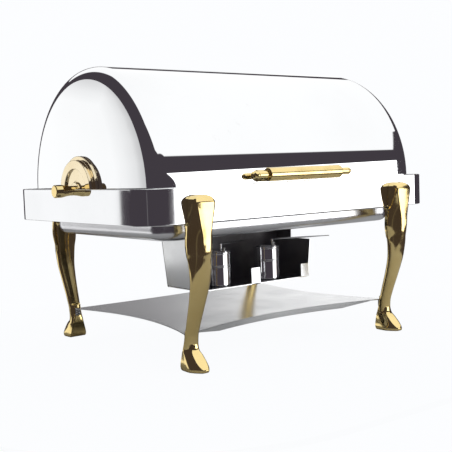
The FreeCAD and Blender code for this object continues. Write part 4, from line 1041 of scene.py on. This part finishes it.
def studio_light():
    """White panels and a ceiling box around a dark room, as directions seen from the object.

    around is in degrees from the front (-Y) towards the left (-X), and above is in degrees above level."""
    world = bpy.data.worlds.new("studio")
    bpy.context.scene.world = world
    world.use_nodes = True
    tree = world.node_tree
    tree.nodes.clear()
    place = tree.nodes.new("ShaderNodeTexCoord")
    parts = tree.nodes.new("ShaderNodeSeparateXYZ")
    tree.links.new(place.outputs["Generated"], parts.inputs[0])
    dx, dy, dz = parts.outputs
    to_left, to_front = calc(tree, "MULTIPLY", dx, -1), calc(tree, "MULTIPLY", dy, -1)
    around = calc(tree, "DEGREES", calc(tree, "ARCTAN2", to_left, to_front))
    above = calc(tree, "DEGREES", calc(tree, "ARCSINE", dz))
    rise = calc(tree, "MAXIMUM", dz, 0.02)
    flat_x, flat_y = calc(tree, "DIVIDE", dx, rise), calc(tree, "DIVIDE", dy, rise)

    def both(*values):
        result = values[0]
        for value in values[1:]:
            result = calc(tree, "MULTIPLY", result, value)
        return result

    # ceiling box: its left edge slants, and its right edge is what the lid mirrors beside its right shoulder
    left_edge = ramp(tree, flat_y, -0.5, 0.6, -0.75, -0.22, smooth=False)
    from_left = calc(tree, "SUBTRACT", flat_x, left_edge)
    bends_at = 24
    mirror = [mirrored_by_lid(angle, 236.0 + 1.4 * (angle - 14)) for angle in range(11, bends_at + 1)]
    for angle in range(bends_at + 2, 74, 3):
        tilt = 90 - 5 * math.sin(math.radians(3 * (angle - bends_at)))
        mirror.append(mirrored_by_lid(angle, LID_BEND_X, tilt))
    right_edge = polyline(tree, flat_y, [(ray.y / ray.z, ray.x / ray.z) for ray in mirror])
    to_right = calc(tree, "SUBTRACT", right_edge, flat_x)
    beside = both(ramp(tree, from_left, -0.03, 0.03), ramp(tree, to_right, -0.004, 0.004))
    front_edge = polyline(tree, from_left, [(0, -1.5), (0.4, -1.81)])
    past_front = calc(tree, "SUBTRACT", flat_y, front_edge)
    overhead = both(beside, ramp(tree, past_front, -0.05, 0.05), ramp(tree, above, 13.5, 14.5), 1.08)
    # the room stays dark low down behind the object, which outlines the lid
    right_rear = ramp(tree, around, -118, -120)
    behind = calc(tree, "MAXIMUM", ramp(tree, around, 169, 171), right_rear)
    dark_top = calc(tree, "ADD", 20, both(ramp(tree, around, -164, -160), right_rear, 2))
    below_top = ramp(tree, calc(tree, "SUBTRACT", dark_top, above), -0.5, 0.5)
    overhead = both(overhead, calc(tree, "SUBTRACT", 1, both(behind, below_top)))
    # pale wall far behind, low enough for the shelf to mirror it and for the lid not to
    shades = [(-158, 0), (-152, 0.2), (-147.5, 0.28), (-145, 0.42), (-141.5, 0.8)]
    shades += [(-137, 1.15), (-122, 1.15), (-116, 0)]
    far_shade = polyline(tree, around, shades)
    far_wall = both(far_shade, ramp(tree, above, 14.6, 13.8), ramp(tree, above, 1, 3))
    # bright panel to the front right, as wide as what the front of the band and of the lid mirror
    mirror = [mirrored_by_lid(angle, 240) for angle in range(1, 10, 2)]
    panel_end = polyline(tree, above, [(-0.3, -51.6)] + [(height(ray), heading(ray)) for ray in mirror])
    panel_start = heading(mirrored((-250, -BAND_HALF_Y, 240), (0, -1, 0)))
    front_panel = both(
        ramp(tree, calc(tree, "SUBTRACT", around, panel_end), -0.03, 0.03),
        ramp(tree, around, panel_start + 0.07, panel_start - 0.07),
        ramp(tree, above, 10.8, 10.2),
        ramp(tree, above, -18.6, -17.4),
    )
    # wider panel near the table, which the burners mirror as broad stripes
    low_panel = both(
        ramp(tree, around, -57, -54),
        ramp(tree, around, -14, -18),
        ramp(tree, above, -4.5, -4.9),
        ramp(tree, above, -11.5, -10.5),
    )
    # tall panel behind the left end, shaped so that it fills the domed end to its edge
    band_turn = heading(mirrored((-BAND_HALF_X, -143, 240), (-1, 0, 0)))
    over_band = BAND_HEIGHT + 0.06
    front_rim = [mirrored_by_dome(angle, 174) for angle in range(0, 84, 12)]
    rear_rim = [mirrored_by_dome(angle, 175) for angle in range(180, 84, -12)]
    first_points = [(-11, 133), (-9.5, band_turn), (BAND_HEIGHT, band_turn)]
    first_points += [(max(height(ray), over_band), heading(ray)) for ray in front_rim]
    first = polyline(tree, above, first_points)
    last = polyline(tree, above, [(height(ray), heading(ray)) for ray in rear_rim])
    inward = calc(tree, "SUBTRACT", around, first)
    rear_panel = both(
        ramp(tree, inward, -0.03, 0.03),
        ramp(tree, calc(tree, "SUBTRACT", last, around), -0.3, 0.3),
        ramp(tree, above, 13, 12.7),
        ramp(tree, above, -26, -24),
    )
    low_down = ramp(tree, above, over_band, BAND_HEIGHT, smooth=False)
    fade = polyline(tree, inward, [(0, 0.5), (2.5, 0.84), (5, 0.98), (8, 1.07)])
    fade = calc(tree, "MINIMUM", fade, polyline(tree, above, [(9.5, 1.07), (11, 0.95), (12.7, 0.7)]))
    fade = calc(tree, "MAXIMUM", fade, both(low_down, polyline(tree, above, [(-11, 0.8), (-9, 1.04)])))
    # faint upright streak for the band's left corner
    streak = both(ramp(tree, around, 54, 57), ramp(tree, around, 60, 57), ramp(tree, above, -1.4, -1.6))

    light = overhead
    panels = ((front_panel, 3), (rear_panel, fade), (far_wall, 1), (low_panel, 2), (streak, 0.09))
    for panel, brightness in panels:
        light = calc(tree, "MAXIMUM", light, both(panel, brightness))
    dark_room, white = (0.056, 0.047, 0.057, 1), (1, 1, 1, 1)
    colour = mix_colour(tree, calc(tree, "MINIMUM", light, 1), dark_room, white)
    strength = calc(tree, "MAXIMUM", light, 1)
    studio = tree.nodes.new("ShaderNodeBackground")
    put(tree, studio.inputs["Color"], colour)
    put(tree, studio.inputs["Strength"], strength)
    backdrop = tree.nodes.new("ShaderNodeBackground")
    backdrop.inputs["Color"].default_value = (0.975, 0.985, 1, 1)
    show(tree, studio, backdrop, "ShaderNodeOutputWorld")
    bpy.context.scene.view_settings.view_transform = "Standard"


def floor():
    """Plain pale table top: as bright as the backdrop to the eye, an ordinary matt surface to the metal."""
    ring = rounded_rectangle(600, 520, 360, 0)
    outline = [(x, y) for x, y, _ in ring]
    made = bpy.data.objects.new("floor", mesh_of("floor", prism(outline, -8, -0.2)))
    bpy.context.scene.collection.objects.link(made)
    finish = bpy.data.materials.new("floor_paint")
    finish.use_nodes = True
    tree = finish.node_tree
    tree.nodes.clear()
    grain = noise(tree, 6.0, detail=2.0)
    shaded = tree.nodes.new("ShaderNodeBsdfDiffuse")
    put(tree, shaded.inputs["Color"], mix_colour(tree, grain, (0.54, 0.545, 0.55, 1), (0.57, 0.575, 0.58, 1)))
    glow = tree.nodes.new("ShaderNodeEmission")
    put(tree, glow.inputs["Color"], mix_colour(tree, grain, (0.974, 0.984, 1.0, 1), (0.976, 0.986, 1.0, 1)))
    glow.inputs["Strength"].default_value = 1.03
    to_eye = tree.nodes.new("ShaderNodeMixShader")
    to_eye.inputs[0].default_value = 0.95
    tree.links.new(shaded.outputs[0], to_eye.inputs[1])
    tree.links.new(glow.outputs[0], to_eye.inputs[2])
    show(tree, shaded, to_eye, "ShaderNodeOutputMaterial")
    made.data.materials.append(finish)


# ---- CAD parts that stay as they are
KEPT = {
    "leg_screws": screw_steel,
    "end_ledge_left": satin_steel,
    "end_ledge_right": satin_steel,
    "pivot_bracket_left": satin_steel,
    "pivot_bracket_right": satin_steel,
    "pivot_pin_left": gold,
    "pivot_pin_right": gold,
    "lid_bumpers": rubber,
    "pivot_bush_left": nylon,
    "pivot_bush_right": nylon,
    "hinge_disc_screws": screw_steel,
    "handle_screws": screw_steel,
}


def kept_parts():
    for name, finish in KEPT.items():
        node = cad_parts[name]
        for material_slot in node.material_slots:
            material_slot.material = finish


camera()
studio_light()
floor()
kept_parts()
band()
water_pan()
food_pan()
pan_surround()
supports()
side_knobs()
legs()
shelf()
screws()
lid_cover()
lid_ends()
hinge_discs()
lid_handle()
tray()
tray_back()
burners()
